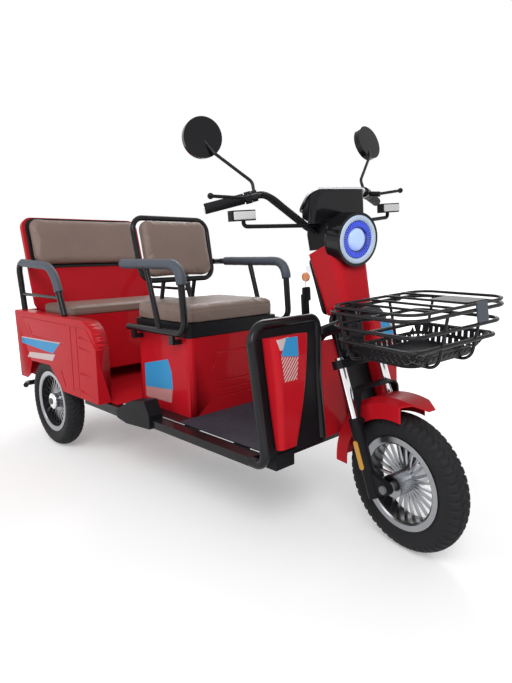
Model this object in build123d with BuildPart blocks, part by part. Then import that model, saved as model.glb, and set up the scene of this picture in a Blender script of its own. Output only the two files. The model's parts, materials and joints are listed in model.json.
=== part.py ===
from build123d import *
import math
import os

os.makedirs("parts", exist_ok=True)

# Electric cargo tricycle. The front faces -Y and +Z is up. The origin is on the ground,
# under the middle of the vehicle's length and width. Sizes are in millimetres.
# Lengths that follow the vehicle are given as distances behind the front axle.

# ---------- driving dimensions ----------
wheelbase = 1636.0
front_axle_y = -904.0
rear_wheel_x = 334.0
body_half_width = 384.0
rake = 19.0
axis_behind_axle = 59.0
parked_steer = -12.0

tyre_radius = 209.0
tyre_half_width = 40.0
bead_half_width = 28.0
rim_flange_radius = 141.0
rim_barrel_radius = 129.5
spoke_count = 24

floor_top = 290.0
wall = 4.0
running_clearance = 0.1
seat_clearance = 0.3
motion_clearance = 6.0


def behind(distance):
    """Y of a place this far behind the front axle."""
    return front_axle_y + distance


def bent_tube(points, bends, radius, plane=Plane.XY):
    """Adds a round tube to the open part, along straight runs joined by arcs."""
    with BuildLine(plane) as route:
        FilletPolyline(*points, radius=bends)
    with BuildSketch(Plane(origin=route.line @ 0, z_dir=route.line % 0)) as section:
        Circle(radius)
    sweep(section.sketch, path=route.line)


def round_bar(start, end, radius, mode=Mode.ADD):
    """Adds a straight round bar between two points to the open part."""
    run = Vector(*end) - Vector(*start)
    with BuildSketch(Plane(origin=start, z_dir=run)) as section:
        Circle(radius)
    extrude(section.sketch, amount=run.length, mode=mode)


def block(x, y, z, radius=0.0, mode=Mode.ADD):
    """Adds a box given by its low and high values along each axis, upright edges rounded."""
    with BuildSketch(Plane.XY.offset(z[0])) as section:
        with Locations(((x[0] + x[1]) / 2, (y[0] + y[1]) / 2)):
            if radius > 0:
                RectangleRounded(x[1] - x[0], y[1] - y[0], radius)
            else:
                Rectangle(x[1] - x[0], y[1] - y[0])
    extrude(section.sketch, amount=z[1] - z[0], mode=mode)


# ---------- steering geometry ----------
axis_direction = Vector(0, math.sin(math.radians(rake)), math.cos(math.radians(rake)))


def on_axis(height):
    """The point of the steering axis at this height."""
    run = (height - tyre_radius) * math.tan(math.radians(rake))
    return Vector(0, behind(axis_behind_axle + run), height)


def fork_plane(height, x=0.0, forward=0.0):
    """A plane square to the steering axis, with local y pointing backwards."""
    back = Vector(0, math.cos(math.radians(rake)), -math.sin(math.radians(rake)))
    origin = on_axis(height) + Vector(x, 0, 0) - back * forward
    return Plane(origin=origin, x_dir=(1, 0, 0), z_dir=axis_direction)


steering_axis = Axis(on_axis(tyre_radius), axis_direction)


def parked(part):
    """The piece turned to the angle that the handlebar is parked at."""
    turned = part.rotate(steering_axis, parked_steer)
    turned.label = part.label
    return turned


# ---------- wheels ----------
rim_width = 2 * bead_half_width + 9.0
rim_well_radius = 118.0
hub_radius = 34.0
front_hub_half = 58.0
front_axle_radius = 7.5
rear_hub_inner = rear_wheel_x - 44.0
rear_hub_outer = rear_wheel_x + 27.0
rear_stub_radius = 10.0
spoke_root = (10.0, 9.0)
spoke_tip = (6.0, 7.0)


def tyre_body(centre):
    """Adds a tyre that turns about an X line through this centre."""
    with BuildSketch(Plane.XY.offset(centre[2])) as section:
        with BuildLine():
            bead = Polyline(
                (centre[0] - bead_half_width, centre[1] + rim_flange_radius),
                (centre[0] - bead_half_width, centre[1] + rim_barrel_radius + 0.3),
                (centre[0] + bead_half_width, centre[1] + rim_barrel_radius + 0.3),
                (centre[0] + bead_half_width, centre[1] + rim_flange_radius),
            )
            shoulder_r = tyre_radius - 15.0
            widest_r = (rim_flange_radius + shoulder_r) / 2
            right = ThreePointArc(
                bead @ 1,
                (centre[0] + tyre_half_width, centre[1] + widest_r),
                (centre[0] + tyre_half_width - 6.0, centre[1] + shoulder_r),
            )
            crown = ThreePointArc(
                right @ 1,
                (centre[0], centre[1] + tyre_radius),
                (centre[0] - tyre_half_width + 6.0, centre[1] + shoulder_r),
            )
            ThreePointArc(
                crown @ 1,
                (centre[0] - tyre_half_width, centre[1] + widest_r),
                bead @ 0,
            )
        make_face()
    revolve(section.sketch, axis=Axis(centre, (1, 0, 0)))


def rim_body(centre, hub_from, hub_to, bore_radius):
    """Adds a spoked rim whose hub runs between two X values beside the centre."""
    half = rim_width / 2
    flat = bead_half_width + seat_clearance
    with BuildSketch(Plane(origin=centre)) as barrel:
        with BuildLine():
            Polyline(
                (-half, rim_well_radius + 6.0),
                (-half + 5.0, rim_well_radius),
                (half - 5.0, rim_well_radius),
                (half, rim_well_radius + 6.0),
                (half, rim_flange_radius),
                (flat, rim_flange_radius),
                (flat, rim_barrel_radius),
                (-flat, rim_barrel_radius),
                (-flat, rim_flange_radius),
                (-half, rim_flange_radius),
                close=True,
            )
        make_face()
    revolve(barrel.sketch, axis=Axis(centre, (1, 0, 0)))
    hub_start = (hub_from, centre[1], centre[2])
    hub_end = (hub_to, centre[1], centre[2])
    round_bar(hub_start, hub_end, hub_radius)
    spoke_length = rim_well_radius + 2.0 - (hub_radius - 4.0)
    spokes = []
    for index in range(spoke_count):
        angle = 360.0 * index / spoke_count
        out = Vector(0, math.cos(math.radians(angle)), math.sin(math.radians(angle)))
        root = Vector(*centre) + out * (hub_radius - 4.0)
        with BuildSketch(Plane(origin=root, x_dir=(1, 0, 0), z_dir=out)) as inner_end:
            Rectangle(spoke_root[0], spoke_root[1])
        with BuildSketch(Plane(origin=root + out * spoke_length, x_dir=(1, 0, 0), z_dir=out)) as outer_end:
            Rectangle(spoke_tip[0], spoke_tip[1])
        spokes.append(loft([inner_end.sketch, outer_end.sketch], mode=Mode.PRIVATE))
    add(spokes)
    round_bar(hub_start, hub_end, bore_radius, mode=Mode.SUBTRACT)


front_centre = (0.0, behind(0.0), tyre_radius)
rear_right_centre = (-rear_wheel_x, behind(wheelbase), tyre_radius)
rear_left_centre = (rear_wheel_x, behind(wheelbase), tyre_radius)

with BuildPart() as front_tyre:
    tyre_body(front_centre)
front_tyre.part.label = "front_tyre"
export_step(parked(front_tyre.part), "parts/front_tyre.step")

with BuildPart() as front_rim:
    rim_body(front_centre, -front_hub_half, front_hub_half, front_axle_radius + running_clearance)
front_rim.part.label = "front_rim"
export_step(parked(front_rim.part), "parts/front_rim.step")

with BuildPart() as rear_tyre_right:
    tyre_body(rear_right_centre)
rear_tyre_right.part.label = "rear_tyre_right"
export_step(rear_tyre_right.part, "parts/rear_tyre_right.step")

with BuildPart() as rear_tyre_left:
    tyre_body(rear_left_centre)
rear_tyre_left.part.label = "rear_tyre_left"
export_step(rear_tyre_left.part, "parts/rear_tyre_left.step")

rear_bore = rear_stub_radius + running_clearance
with BuildPart() as rear_rim_right:
    rim_body(rear_right_centre, -rear_hub_outer, -rear_hub_inner, rear_bore)
rear_rim_right.part.label = "rear_rim_right"
export_step(rear_rim_right.part, "parts/rear_rim_right.step")

with BuildPart() as rear_rim_left:
    rim_body(rear_left_centre, rear_hub_inner, rear_hub_outer, rear_bore)
rear_rim_left.part.label = "rear_rim_left"
export_step(rear_rim_left.part, "parts/rear_rim_left.step")

# ---------- front fork and what it carries ----------
leg_x = 82.0
stanchion_radius = 13.5
slider_radius = 19.0
slider_top = 391.0
slider_bottom = 165.0
stanchion_bottom = 345.0
crown_height = 548.0
crown_thickness = 26.0
stem_radius = 15.0
stem_top = 962.0
bar_radius = 11.0
bar_centre = (0.0, behind(314.0), 950.0)
bar_clamp = (25.0, 19.0, 18.0)
axle_lug = (72.0, 90.0)
axle_lug_radius = 19.0
axle_end = 98.0
axle_nut_radius = 12.0
fender_side_x = 50.0
fender_thickness = 3.0

with BuildPart() as fork_crown:
    with BuildSketch(fork_plane(crown_height - crown_thickness / 2)):
        SlotCenterToCenter(2 * leg_x, 50.0)
        for side in (-1, 1):
            with Locations((side * leg_x, 0)):
                Circle(stanchion_radius + running_clearance, mode=Mode.SUBTRACT)
    extrude(amount=crown_thickness)
    round_bar(on_axis(crown_height), on_axis(stem_top), stem_radius)
    block(
        (-bar_clamp[0], bar_clamp[0]),
        (bar_centre[1] - bar_clamp[1], bar_centre[1] + bar_clamp[1]),
        (bar_centre[2] - bar_clamp[2], bar_centre[2] + bar_clamp[2]),
    )
    bar_hole = bar_radius + running_clearance
    across = Vector(bar_clamp[0] + 1.0, 0, 0)
    round_bar(Vector(*bar_centre) - across, Vector(*bar_centre) + across, bar_hole, mode=Mode.SUBTRACT)
fork_crown.part.label = "fork_crown"
export_step(parked(fork_crown.part), "parts/fork_crown.step")

with BuildPart() as stanchions:
    for side in (-1, 1):
        foot = on_axis(stanchion_bottom) + Vector(side * leg_x, 0, 0)
        head = on_axis(crown_height + 18.0) + Vector(side * leg_x, 0, 0)
        round_bar(foot, head, stanchion_radius)
stanchions.part.label = "stanchions"
export_step(parked(stanchions.part), "parts/stanchions.step")

with BuildPart() as fork_sliders:
    for side in (-1, 1):
        shift = Vector(side * leg_x, 0, 0)
        round_bar(on_axis(slider_bottom) + shift, on_axis(slider_top) + shift, slider_radius)
        inner = axle_lug[0] if side > 0 else -axle_lug[1]
        with BuildSketch(Plane.YZ.offset(inner)):
            with Locations((behind(0), tyre_radius)):
                Circle(axle_lug_radius)
            with BuildLine():
                Polyline(
                    (behind(0), tyre_radius + axle_lug_radius),
                    (behind(axis_behind_axle + 6.0), tyre_radius + 38.0),
                    (behind(axis_behind_axle - 6.0), tyre_radius - 34.0),
                    (behind(0), tyre_radius - axle_lug_radius),
                    close=True,
                )
            make_face()
        extrude(amount=axle_lug[1] - axle_lug[0])
        lug_start = on_axis(slider_top - 13.0)
        lug_start = lug_start + Vector(side * (fender_side_x + fender_thickness + seat_clearance), 0, 0)
        lug_end = on_axis(slider_top - 13.0) + Vector(side * leg_x, 0, 0)
        round_bar(lug_start, lug_end, 9.0)
    for side in (-1, 1):
        shift = Vector(side * leg_x, 0, 0)
        round_bar(
            on_axis(stanchion_bottom - 1.0) + shift,
            on_axis(slider_top) + shift,
            stanchion_radius + running_clearance,
            mode=Mode.SUBTRACT,
        )
    round_bar(
        (-axle_lug[1], behind(0), tyre_radius),
        (axle_lug[1], behind(0), tyre_radius),
        front_axle_radius + running_clearance,
        mode=Mode.SUBTRACT,
    )
fork_sliders.part.label = "fork_sliders"
export_step(parked(fork_sliders.part), "parts/fork_sliders.step")

with BuildPart() as front_axle:
    round_bar((-axle_end, behind(0), tyre_radius), (axle_end, behind(0), tyre_radius), front_axle_radius)
    for side in (-1, 1):
        near = side * (front_hub_half + seat_clearance)
        far = side * (axle_lug[0] - seat_clearance)
        round_bar((near, behind(0), tyre_radius), (far, behind(0), tyre_radius), axle_nut_radius)
        nut = side * (axle_lug[1] + seat_clearance)
        round_bar((nut, behind(0), tyre_radius), (side * axle_end, behind(0), tyre_radius), axle_nut_radius)
front_axle.part.label = "front_axle"
export_step(parked(front_axle.part), "parts/front_axle.step")

fender_outer = 258.0
fender_skirt_radius = 198.0
fender_front_angle = 112.0
fender_sweep = 112.0
fender_nose_half = 12.0
fender_nose_length = 76.0

with BuildPart() as front_fender:
    start = math.radians(fender_front_angle)
    out = Vector(0, math.cos(start), math.sin(start))
    section = Plane(origin=front_centre, x_dir=(1, 0, 0), z_dir=Vector(1, 0, 0).cross(out))
    with BuildSketch(section):
        with BuildLine():
            arch = Polyline(
                (-fender_side_x, fender_skirt_radius),
                (-fender_side_x, fender_outer - 14.0),
                (-fender_side_x + 16.0, fender_outer),
                (fender_side_x - 16.0, fender_outer),
                (fender_side_x, fender_outer - 14.0),
                (fender_side_x, fender_skirt_radius),
            )
            offset(arch.wire(), amount=fender_thickness, side=Side.LEFT, kind=Kind.INTERSECTION)
        make_face()
    revolve(axis=Axis(front_centre, (1, 0, 0)), revolution_arc=-fender_sweep)
    nose = front_fender.part.bounding_box().min.Y - 1.0
    outside = fender_side_x + fender_thickness + 1.0
    for side in (-1, 1):
        with BuildSketch(Plane.XY.offset(tyre_radius + rim_flange_radius)) as corner:
            with BuildLine():
                Polyline(
                    (side * fender_nose_half, nose),
                    (side * outside, nose),
                    (side * outside, nose + fender_nose_length),
                    close=True,
                )
            make_face()
        extrude(corner.sketch, amount=fender_outer, mode=Mode.SUBTRACT)
front_fender.part.label = "front_fender"
export_step(parked(front_fender.part), "parts/front_fender.step")


brace_thickness = 6.0
brace_width = 34.0
brace_clear = 9.0

with BuildPart() as fender_brace:
    rise = fender_outer + fender_thickness + brace_clear
    foot_z = slider_top - 20.0
    mid = behind(axis_behind_axle + (foot_z - tyre_radius) * math.tan(math.radians(rake)))
    with BuildSketch(Plane.XZ.offset(-mid + brace_width / 2)):
        with BuildLine():
            arch = FilletPolyline(
                (-leg_x, foot_z),
                (-leg_x + 8.0, tyre_radius + rise),
                (leg_x - 8.0, tyre_radius + rise),
                (leg_x, foot_z),
                radius=20.0,
            )
            offset(arch.wire(), amount=brace_thickness, side=Side.LEFT, kind=Kind.INTERSECTION)
        make_face()
    extrude(amount=-brace_width)
    for side in (-1, 1):
        shift = Vector(side * leg_x, 0, 0)
        low = on_axis(slider_bottom) + shift
        high = on_axis(crown_height) + shift
        round_bar(low, high, slider_radius + running_clearance, mode=Mode.SUBTRACT)
fender_brace.part.label = "fender_brace"
export_step(parked(fender_brace.part), "parts/fender_brace.step")

# ---------- steering column, headlight and dash ----------
cowl_bottom = 696.0
cowl_top = 884.0
cowl_half_width = 68.0
cowl_low_half_width = 57.0
cowl_front = 86.0
cowl_low_front = 60.0
cowl_back = 48.0
cowl_corner = 24.0
cover_thickness = 14.0
cowl_web = 8.0


def cowl_outline(height, inset):
    """The column cowl's outline on a plane square to the steering axis."""
    share = (cowl_top - height) / (cowl_top - cowl_bottom)
    front = cowl_front + (cowl_low_front - cowl_front) * share
    width = 2 * (cowl_half_width + (cowl_low_half_width - cowl_half_width) * share - inset)
    depth = front + cowl_back - 2 * inset
    with BuildSketch(fork_plane(height, forward=(front - cowl_back) / 2)) as outline:
        RectangleRounded(width, depth, cowl_corner - inset / 2)
    return outline.sketch


lamp_radius = 79.0
lamp_height = 912.0
lamp_front = 172.0
lamp_depth = 78.0
lamp_rim = 8.0
lamp_back_round = 26.0
lens_depth = 12.0
lens_proud = 3.0
lamp_tilt = 4.0
lamp_aim = Vector(0, -math.cos(math.radians(lamp_tilt)), -math.sin(math.radians(lamp_tilt)))
lamp_face = Vector(0, behind(lamp_front), lamp_height)
stem_hole = stem_radius + running_clearance


def lamp_body(gap=0.0):
    """The headlight's round body, larger all round by a gap."""
    origin = lamp_face + lamp_aim * gap
    with BuildPart() as pot:
        with BuildSketch(Plane(origin=origin, x_dir=(1, 0, 0), z_dir=lamp_aim)):
            Circle(lamp_radius + gap)
        extrude(amount=-lamp_depth - 2 * gap)
        fillet(pot.faces().sort_by(Axis.Y)[-1].edges(), lamp_back_round)
    return pot.part


lamp_room = lamp_body(seat_clearance)


with BuildPart() as column_cowl:
    loft([cowl_outline(cowl_bottom, 0), cowl_outline(cowl_top, 0)])
    low = cowl_outline(cowl_bottom - 1.0, wall)
    high = cowl_outline(cowl_top - cowl_web, wall)
    loft([low, high], mode=Mode.SUBTRACT)
    round_bar(on_axis(cowl_bottom), on_axis(cowl_top + 40.0), stem_hole, mode=Mode.SUBTRACT)
    add(lamp_room, mode=Mode.SUBTRACT)
column_cowl.part.label = "column_cowl"
export_step(parked(column_cowl.part), "parts/column_cowl.step")

with BuildPart() as column_cover:
    back_plane = fork_plane(cowl_bottom, forward=-cowl_back - seat_clearance)
    with BuildSketch(Plane(origin=back_plane.origin, x_dir=(1, 0, 0), z_dir=-back_plane.y_dir)):
        with Locations((0, (cowl_top - cowl_bottom) / 2 / math.cos(math.radians(rake)))):
            RectangleRounded(2 * cowl_half_width - 34.0, cowl_top - cowl_bottom, 18.0)
    extrude(amount=-cover_thickness)
column_cover.part.label = "column_cover"
export_step(parked(column_cover.part), "parts/column_cover.step")

lock_radius = 15.0
lock_length = 14.0
lock_height = 842.0
with BuildPart() as ignition_lock:
    base = fork_plane(lock_height, forward=-cowl_back - cover_thickness - 2 * seat_clearance)
    round_bar(base.origin, base.origin + base.y_dir * lock_length, lock_radius)
ignition_lock.part.label = "ignition_lock"
export_step(parked(ignition_lock.part), "parts/ignition_lock.step")

head_half_width = 52.0
pod_front_half = 110.0
pod_back_half = 92.0
pod_front = 238.0
pod_back = 328.0
pod_profile = ((238.0, 1054.0), (242.0, 1066.0), (328.0, 1004.0), (322.0, 988.0), (250.0, 966.0))
pod_corner = 28.0
pod_edge = 5.0
bar_elbow = (66.0, bar_centre[1], bar_centre[2])
bar_shoulder = (198.0, behind(356.0), 1065.0)
bar_end = (356.0, behind(449.0), 1031.0)
bar_bend = 45.0
head_profile = (
    (232.0, 890.0),
    (338.0, 884.0),
    (347.0, 934.0),
    (339.0, 978.0),
    (300.0, 992.0),
    (236.0, 976.0),
)

lamp_pot = lamp_body()

with BuildPart() as headlight:
    add(lamp_pot)
    with BuildSketch(Plane(origin=lamp_face, x_dir=(1, 0, 0), z_dir=lamp_aim)) as lens_pocket:
        Circle(lamp_radius - lamp_rim)
    extrude(lens_pocket.sketch, amount=-lens_depth, mode=Mode.SUBTRACT)
headlight.part.label = "headlight"
export_step(parked(headlight.part), "parts/headlight.step")

with BuildPart() as headlight_lens:
    lens_back = lamp_face - lamp_aim * (lens_depth - running_clearance)
    with BuildSketch(Plane(origin=lens_back, x_dir=(1, 0, 0), z_dir=lamp_aim)):
        Circle(lamp_radius - lamp_rim - running_clearance)
    extrude(amount=lens_depth + lens_proud)
    fillet(headlight_lens.faces().sort_by(Axis.Y)[0].edges(), lens_proud)
headlight_lens.part.label = "headlight_lens"
export_step(parked(headlight_lens.part), "parts/headlight_lens.step")


def mirrored(point):
    """The same point on the other side of the vehicle."""
    return (-point[0], point[1], point[2])


def along_grip(distance, side=1):
    """The point of a grip this far in from the handlebar's end, on the left or the right side."""
    run = (Vector(*bar_shoulder) - Vector(*bar_end)).normalized()
    point = Vector(*bar_end) + run * distance
    return Vector(side * point.X, point.Y, point.Z)


def bar_tube(radius):
    """A tube along the handlebar's whole route."""
    with BuildPart() as tube:
        bent_tube(
            [
                mirrored(bar_end),
                mirrored(bar_shoulder),
                mirrored(bar_elbow),
                bar_elbow,
                bar_shoulder,
                bar_end,
            ],
            [bar_bend] * 4,
            radius,
        )
    return tube.part


bar_room = bar_tube(bar_radius + running_clearance)
bar_solid = bar_tube(bar_radius)

with BuildPart() as handlebar:
    add(bar_solid)
handlebar.part.label = "handlebar"
export_step(parked(handlebar.part), "parts/handlebar.step")

with BuildPart() as dash_pod:
    with BuildSketch(Plane.YZ.offset(-pod_front_half)) as profile:
        with BuildLine():
            Polyline(*[(behind(y), z) for y, z in pod_profile], close=True)
        make_face()
    extrude(profile.sketch, amount=2 * pod_front_half)
    with BuildSketch(Plane.XY.offset(pod_profile[4][1] - 1.0)) as plan:
        with BuildLine():
            FilletPolyline(
                (-pod_front_half, behind(pod_front)),
                (pod_front_half, behind(pod_front)),
                (pod_back_half, behind(pod_back)),
                (-pod_back_half, behind(pod_back)),
                radius=pod_corner,
                close=True,
            )
        make_face()
    extrude(plan.sketch, amount=pod_profile[1][1] - pod_profile[4][1] + 2.0, mode=Mode.INTERSECT)
    add(bar_room, mode=Mode.SUBTRACT)
dash_pod.part.label = "dash_pod"
export_step(parked(dash_pod.part), "parts/dash_pod.step")

with BuildPart() as head_cowl:
    with BuildSketch(Plane.YZ.offset(-head_half_width)) as profile:
        with BuildLine():
            Polyline(*[(behind(y), z) for y, z in head_profile], close=True)
        make_face()
    extrude(profile.sketch, amount=2 * head_half_width)
    add(column_cowl.part, mode=Mode.SUBTRACT)
    add(column_cover.part, mode=Mode.SUBTRACT)
    add(dash_pod.part, mode=Mode.SUBTRACT)
    add(lamp_room, mode=Mode.SUBTRACT)
    round_bar(on_axis(cowl_bottom), on_axis(stem_top + 1.0), stem_hole, mode=Mode.SUBTRACT)
    add(bar_room, mode=Mode.SUBTRACT)
    add(fork_crown.part, mode=Mode.SUBTRACT)
head_cowl.part.label = "head_cowl"
export_step(parked(head_cowl.part), "parts/head_cowl.step")

# ---------- handlebar fittings ----------
grip_radius = 16.0
grip_length = 124.0
perch_at = 136.0
perch_length = 20.0
perch_radius = 18.0
lever_radius = 5.0
lever_ball = 9.0
lever_forward = 48.0
lever_tip = (381.0, behind(356.0), 1062.0)

with BuildPart() as grips:
    for side in (-1, 1):
        tip = along_grip(0, side)
        inner = along_grip(grip_length, side)
        round_bar(tip, inner, grip_radius)
        round_bar(tip, inner, bar_radius + running_clearance, mode=Mode.SUBTRACT)
grips.part.label = "grips"
export_step(parked(grips.part), "parts/grips.step")

with BuildPart() as brake_levers:
    near = along_grip(perch_at - perch_length / 2)
    far = along_grip(perch_at + perch_length / 2)
    round_bar(near, far, perch_radius)
    root = (near + far) / 2
    along = (near - far).normalized()
    ahead = (Vector(0, -1, 0) + along * along.Y).normalized()
    round_bar(root, root + ahead * lever_forward, lever_ball)
    round_bar(root + ahead * (lever_forward - lever_ball), lever_tip, lever_radius)
    with Locations(lever_tip):
        Sphere(lever_ball)
    round_bar(near - (far - near), far + (far - near), bar_radius + running_clearance, mode=Mode.SUBTRACT)
    mirror(about=Plane.YZ)
brake_levers.part.label = "brake_levers"
export_step(parked(brake_levers.part), "parts/brake_levers.step")

mirror_radius = 59.0
mirror_thickness = 22.0
mirror_centre = Vector(333.5, behind(467.0), 1237.0)
mirror_post = Vector(219.8, behind(385.6), 1101.5)
mirror_edge = Vector(314.0, behind(434.7), 1189.6)
mirror_stem_radius = 5.0
mirror_turn = 11.0
mirror_tips = {-1: 0.0, 1: -16.0}
clamp_at = 155.5
clamp_length = 17.0
clamp_radius = 17.0

with BuildPart() as mirrors:
    for side in (-1, 1):
        foot = along_grip(clamp_at - clamp_length / 2, side)
        foot_far = along_grip(clamp_at + clamp_length / 2, side)
        round_bar(foot, foot_far, clamp_radius)
        root = (foot + foot_far) / 2
        head = Vector(side * mirror_centre.X, mirror_centre.Y, mirror_centre.Z)
        post = Vector(side * mirror_post.X, mirror_post.Y, mirror_post.Z)
        edge = Vector(side * mirror_edge.X, mirror_edge.Y, mirror_edge.Z)
        bent_tube([root, post, edge, head], [24.0, 24.0], mirror_stem_radius)
        yaw = math.radians(mirror_turn * side)
        tip = math.radians(mirror_tips[side])
        face = Vector(-math.sin(yaw) * math.cos(tip), math.cos(yaw) * math.cos(tip), math.sin(tip))
        with BuildSketch(Plane(origin=head - face * mirror_thickness / 2, z_dir=face)) as disc:
            Circle(mirror_radius)
        extrude(disc.sketch, amount=mirror_thickness)
    add(bar_room, mode=Mode.SUBTRACT)
mirrors.part.label = "mirrors"
export_step(parked(mirrors.part), "parts/mirrors.step")

signal_x = (256.0, 336.0)
signal_y = (318.0, 350.0)
signal_z = (988.0, 1018.0)
signal_corner = 6.0
signal_arm_x = 292.0
signal_arm_radius = 6.0
signal_arm_start_x = head_half_width + 28.0
signal_arm_root = (290.0, 962.0)

with BuildPart() as turn_signals:
    for side in (-1, 1):
        span = signal_x if side > 0 else (-signal_x[1], -signal_x[0])
        block(span, (behind(signal_y[0]), behind(signal_y[1])), signal_z, signal_corner)
        middle_y = behind((signal_y[0] + signal_y[1]) / 2)
        arm_z = signal_z[0] - 16.0
        bent_tube(
            [
                (side * (head_half_width + seat_clearance), behind(signal_arm_root[0]), signal_arm_root[1]),
                (side * signal_arm_start_x, behind(signal_arm_root[0]), signal_arm_root[1]),
                (side * signal_arm_x, middle_y, arm_z),
                (side * signal_arm_x, middle_y, signal_z[0] + 2.0),
            ],
            [40.0, 12.0],
            signal_arm_radius,
        )
turn_signals.part.label = "turn_signals"
export_step(parked(turn_signals.part), "parts/turn_signals.step")

# ---------- basket ----------
basket_x = 190.0
basket_back = 115.0
basket_front = -197.0
basket_top = 729.0
basket_corner = 58.0
basket_wire = 5.0
basket_floor = 596.0
ring_heights = (688.0, 648.0)
end_lean = 0.216
side_lean = 0.30
hoop_bend = 38.0
hoop_wire = 4.2
front_hoop_x = 65.0
side_hoop_y = 55.0
lid_drop = 15.0
lid_wire = 4.0
lid_bar_x = (38.0, 112.0)
lid_inset = 4.0
lid_setback = 14.0
bin_wall = 3.0
bin_top = ring_heights[1] + 4.0
bin_taper = 36.0
bin_gap = 0.4


def ring(half_x, y_from, y_to, height, corner, radius):
    """Adds a closed wire ring, rounded at its corners, to the open part."""
    with BuildLine(Plane.XY.offset(height)) as route:
        FilletPolyline(
            (half_x, y_from),
            (half_x, y_to),
            (-half_x, y_to),
            (-half_x, y_from),
            radius=corner,
            close=True,
        )
    with BuildSketch(Plane(origin=route.line @ 0, z_dir=route.line % 0)) as section:
        Circle(radius)
    sweep(section.sketch, path=route.line)


def basket_inset(height):
    """How far the basket's sides and ends have drawn in at this height."""
    return side_lean * (basket_top - height), end_lean * (basket_top - height)


def bin_outline(height, inset):
    """The basket liner's outline at a height, narrower towards its floor."""
    side, end = basket_inset(ring_heights[1])
    shrink = bin_taper * (bin_top - height) / (bin_top - basket_floor) + inset + basket_wire + bin_gap
    width = 2 * (basket_x - side - shrink)
    depth = basket_back - basket_front - 2 * (end + shrink)
    with BuildSketch(Plane.XY.offset(height)) as outline:
        with Locations((0, behind((basket_back + basket_front) / 2))):
            RectangleRounded(width, depth, basket_corner - 18.0)
    return outline.sketch


with BuildPart() as basket_bin:
    loft([bin_outline(basket_floor, 0), bin_outline(bin_top, 0)])
    hollow_floor = bin_outline(basket_floor + bin_wall, bin_wall)
    hollow_top = bin_outline(bin_top + 1.0, bin_wall)
    loft([hollow_floor, hollow_top], mode=Mode.SUBTRACT)
basket_bin.part.label = "basket_bin"
export_step(parked(basket_bin.part), "parts/basket_bin.step")

carrier_x = (44.0, 66.0)
carrier_y = (10.0, 186.0)
carrier_post = 20.0
carrier_thickness = 6.0

with BuildPart() as basket_frame:
    ring(basket_x, behind(basket_back), behind(basket_front), basket_top, basket_corner, basket_wire)
    for height in ring_heights:
        side, end = basket_inset(height)
        ring(
            basket_x - side,
            behind(basket_back - end),
            behind(basket_front + end),
            height,
            basket_corner - side,
            basket_wire,
        )
    low = basket_floor - hoop_wire - bin_gap
    side, end = basket_inset(low)
    for x in (-front_hoop_x, front_hoop_x):
        bent_tube(
            [
                (x, behind(basket_front), basket_top),
                (x, behind(basket_front + end), low),
                (x, behind(basket_back - end), low),
                (x, behind(basket_back), basket_top),
            ],
            [hoop_bend, hoop_bend],
            hoop_wire,
        )
    bent_tube(
        [
            (-basket_x, behind(side_hoop_y), basket_top),
            (side - basket_x, behind(side_hoop_y), low),
            (basket_x - side, behind(side_hoop_y), low),
            (basket_x, behind(side_hoop_y), basket_top),
        ],
        [hoop_bend, hoop_bend],
        hoop_wire,
    )
    for mark in (-1, 1):
        span = carrier_x if mark > 0 else (-carrier_x[1], -carrier_x[0])
        reach = (behind(carrier_y[0]), behind(carrier_y[1]))
        block(span, reach, (low - 1.0 - carrier_thickness, low - 1.0))
        post = (behind(carrier_y[1] - carrier_post), behind(carrier_y[1]))
        block(span, post, (crown_height, low - 2.0))
    add(fork_crown.part, mode=Mode.SUBTRACT)
basket_frame.part.label = "basket_frame"
export_step(parked(basket_frame.part), "parts/basket_frame.step")

lid_z = basket_top + lid_drop
hinge_sleeve = 8.0
hinge_x = (86.0, 108.0)
hinge_arm_radius = 3.6
latch_x = (20.0, 100.0)
latch_y = (-190.0, -66.0)
latch_z = (1.0, 6.0)

with BuildPart() as basket_lid:
    back = behind(basket_back - lid_setback)
    front = behind(basket_front)
    ring(basket_x - lid_inset, back, front, lid_z, basket_corner - lid_inset, lid_wire)
    for x in (-lid_bar_x[1], -lid_bar_x[0], lid_bar_x[0], lid_bar_x[1]):
        round_bar((x, back, lid_z), (x, front, lid_z), lid_wire - 0.6)
    block(latch_x, (behind(latch_y[0]), behind(latch_y[1])), (lid_z + latch_z[0], lid_z + latch_z[1]), 12.0)
    for side in (-1, 1):
        start = (side * hinge_x[0], behind(basket_back), basket_top)
        end = (side * hinge_x[1], behind(basket_back), basket_top)
        round_bar(start, end, hinge_sleeve)
        middle = side * (hinge_x[0] + hinge_x[1]) / 2
        round_bar((middle, behind(basket_back), basket_top), (middle, back, lid_z), hinge_arm_radius)
        round_bar(start, end, basket_wire + running_clearance, mode=Mode.SUBTRACT)
basket_lid.part.label = "basket_lid"
export_step(parked(basket_lid.part), "parts/basket_lid.step")

# ---------- frame ----------
rail_x = (165.0, 195.0)
rail_z = (244.0, 286.0)
frame_front = 312.0
frame_back = 1956.0
cross_members = (frame_front, 740.0, 1092.0, 1400.0, frame_back - 30.0)
member_depth = 30.0
member_z = (rail_z[0] + 4.0, rail_z[1] - 4.0)
head_tube_low = 575.0
head_tube_high = 700.0
head_tube_radius = 25.0
down_tube_radius = 20.0
down_tube_y = 352.0
down_tube_top = 610.0
spring_x = (203.0, 247.0)
spring_reach = 250.0
spring_eye_y = (wheelbase - spring_reach, wheelbase + spring_reach)
spring_eye_z = 262.0
spring_pin_radius = 6.0
outrigger_y = (430.0, 690.0)
sill_x = (290.0, 339.0)
sill_z = (256.0, 284.0)
sill_y = (322.0, 838.0)

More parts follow.
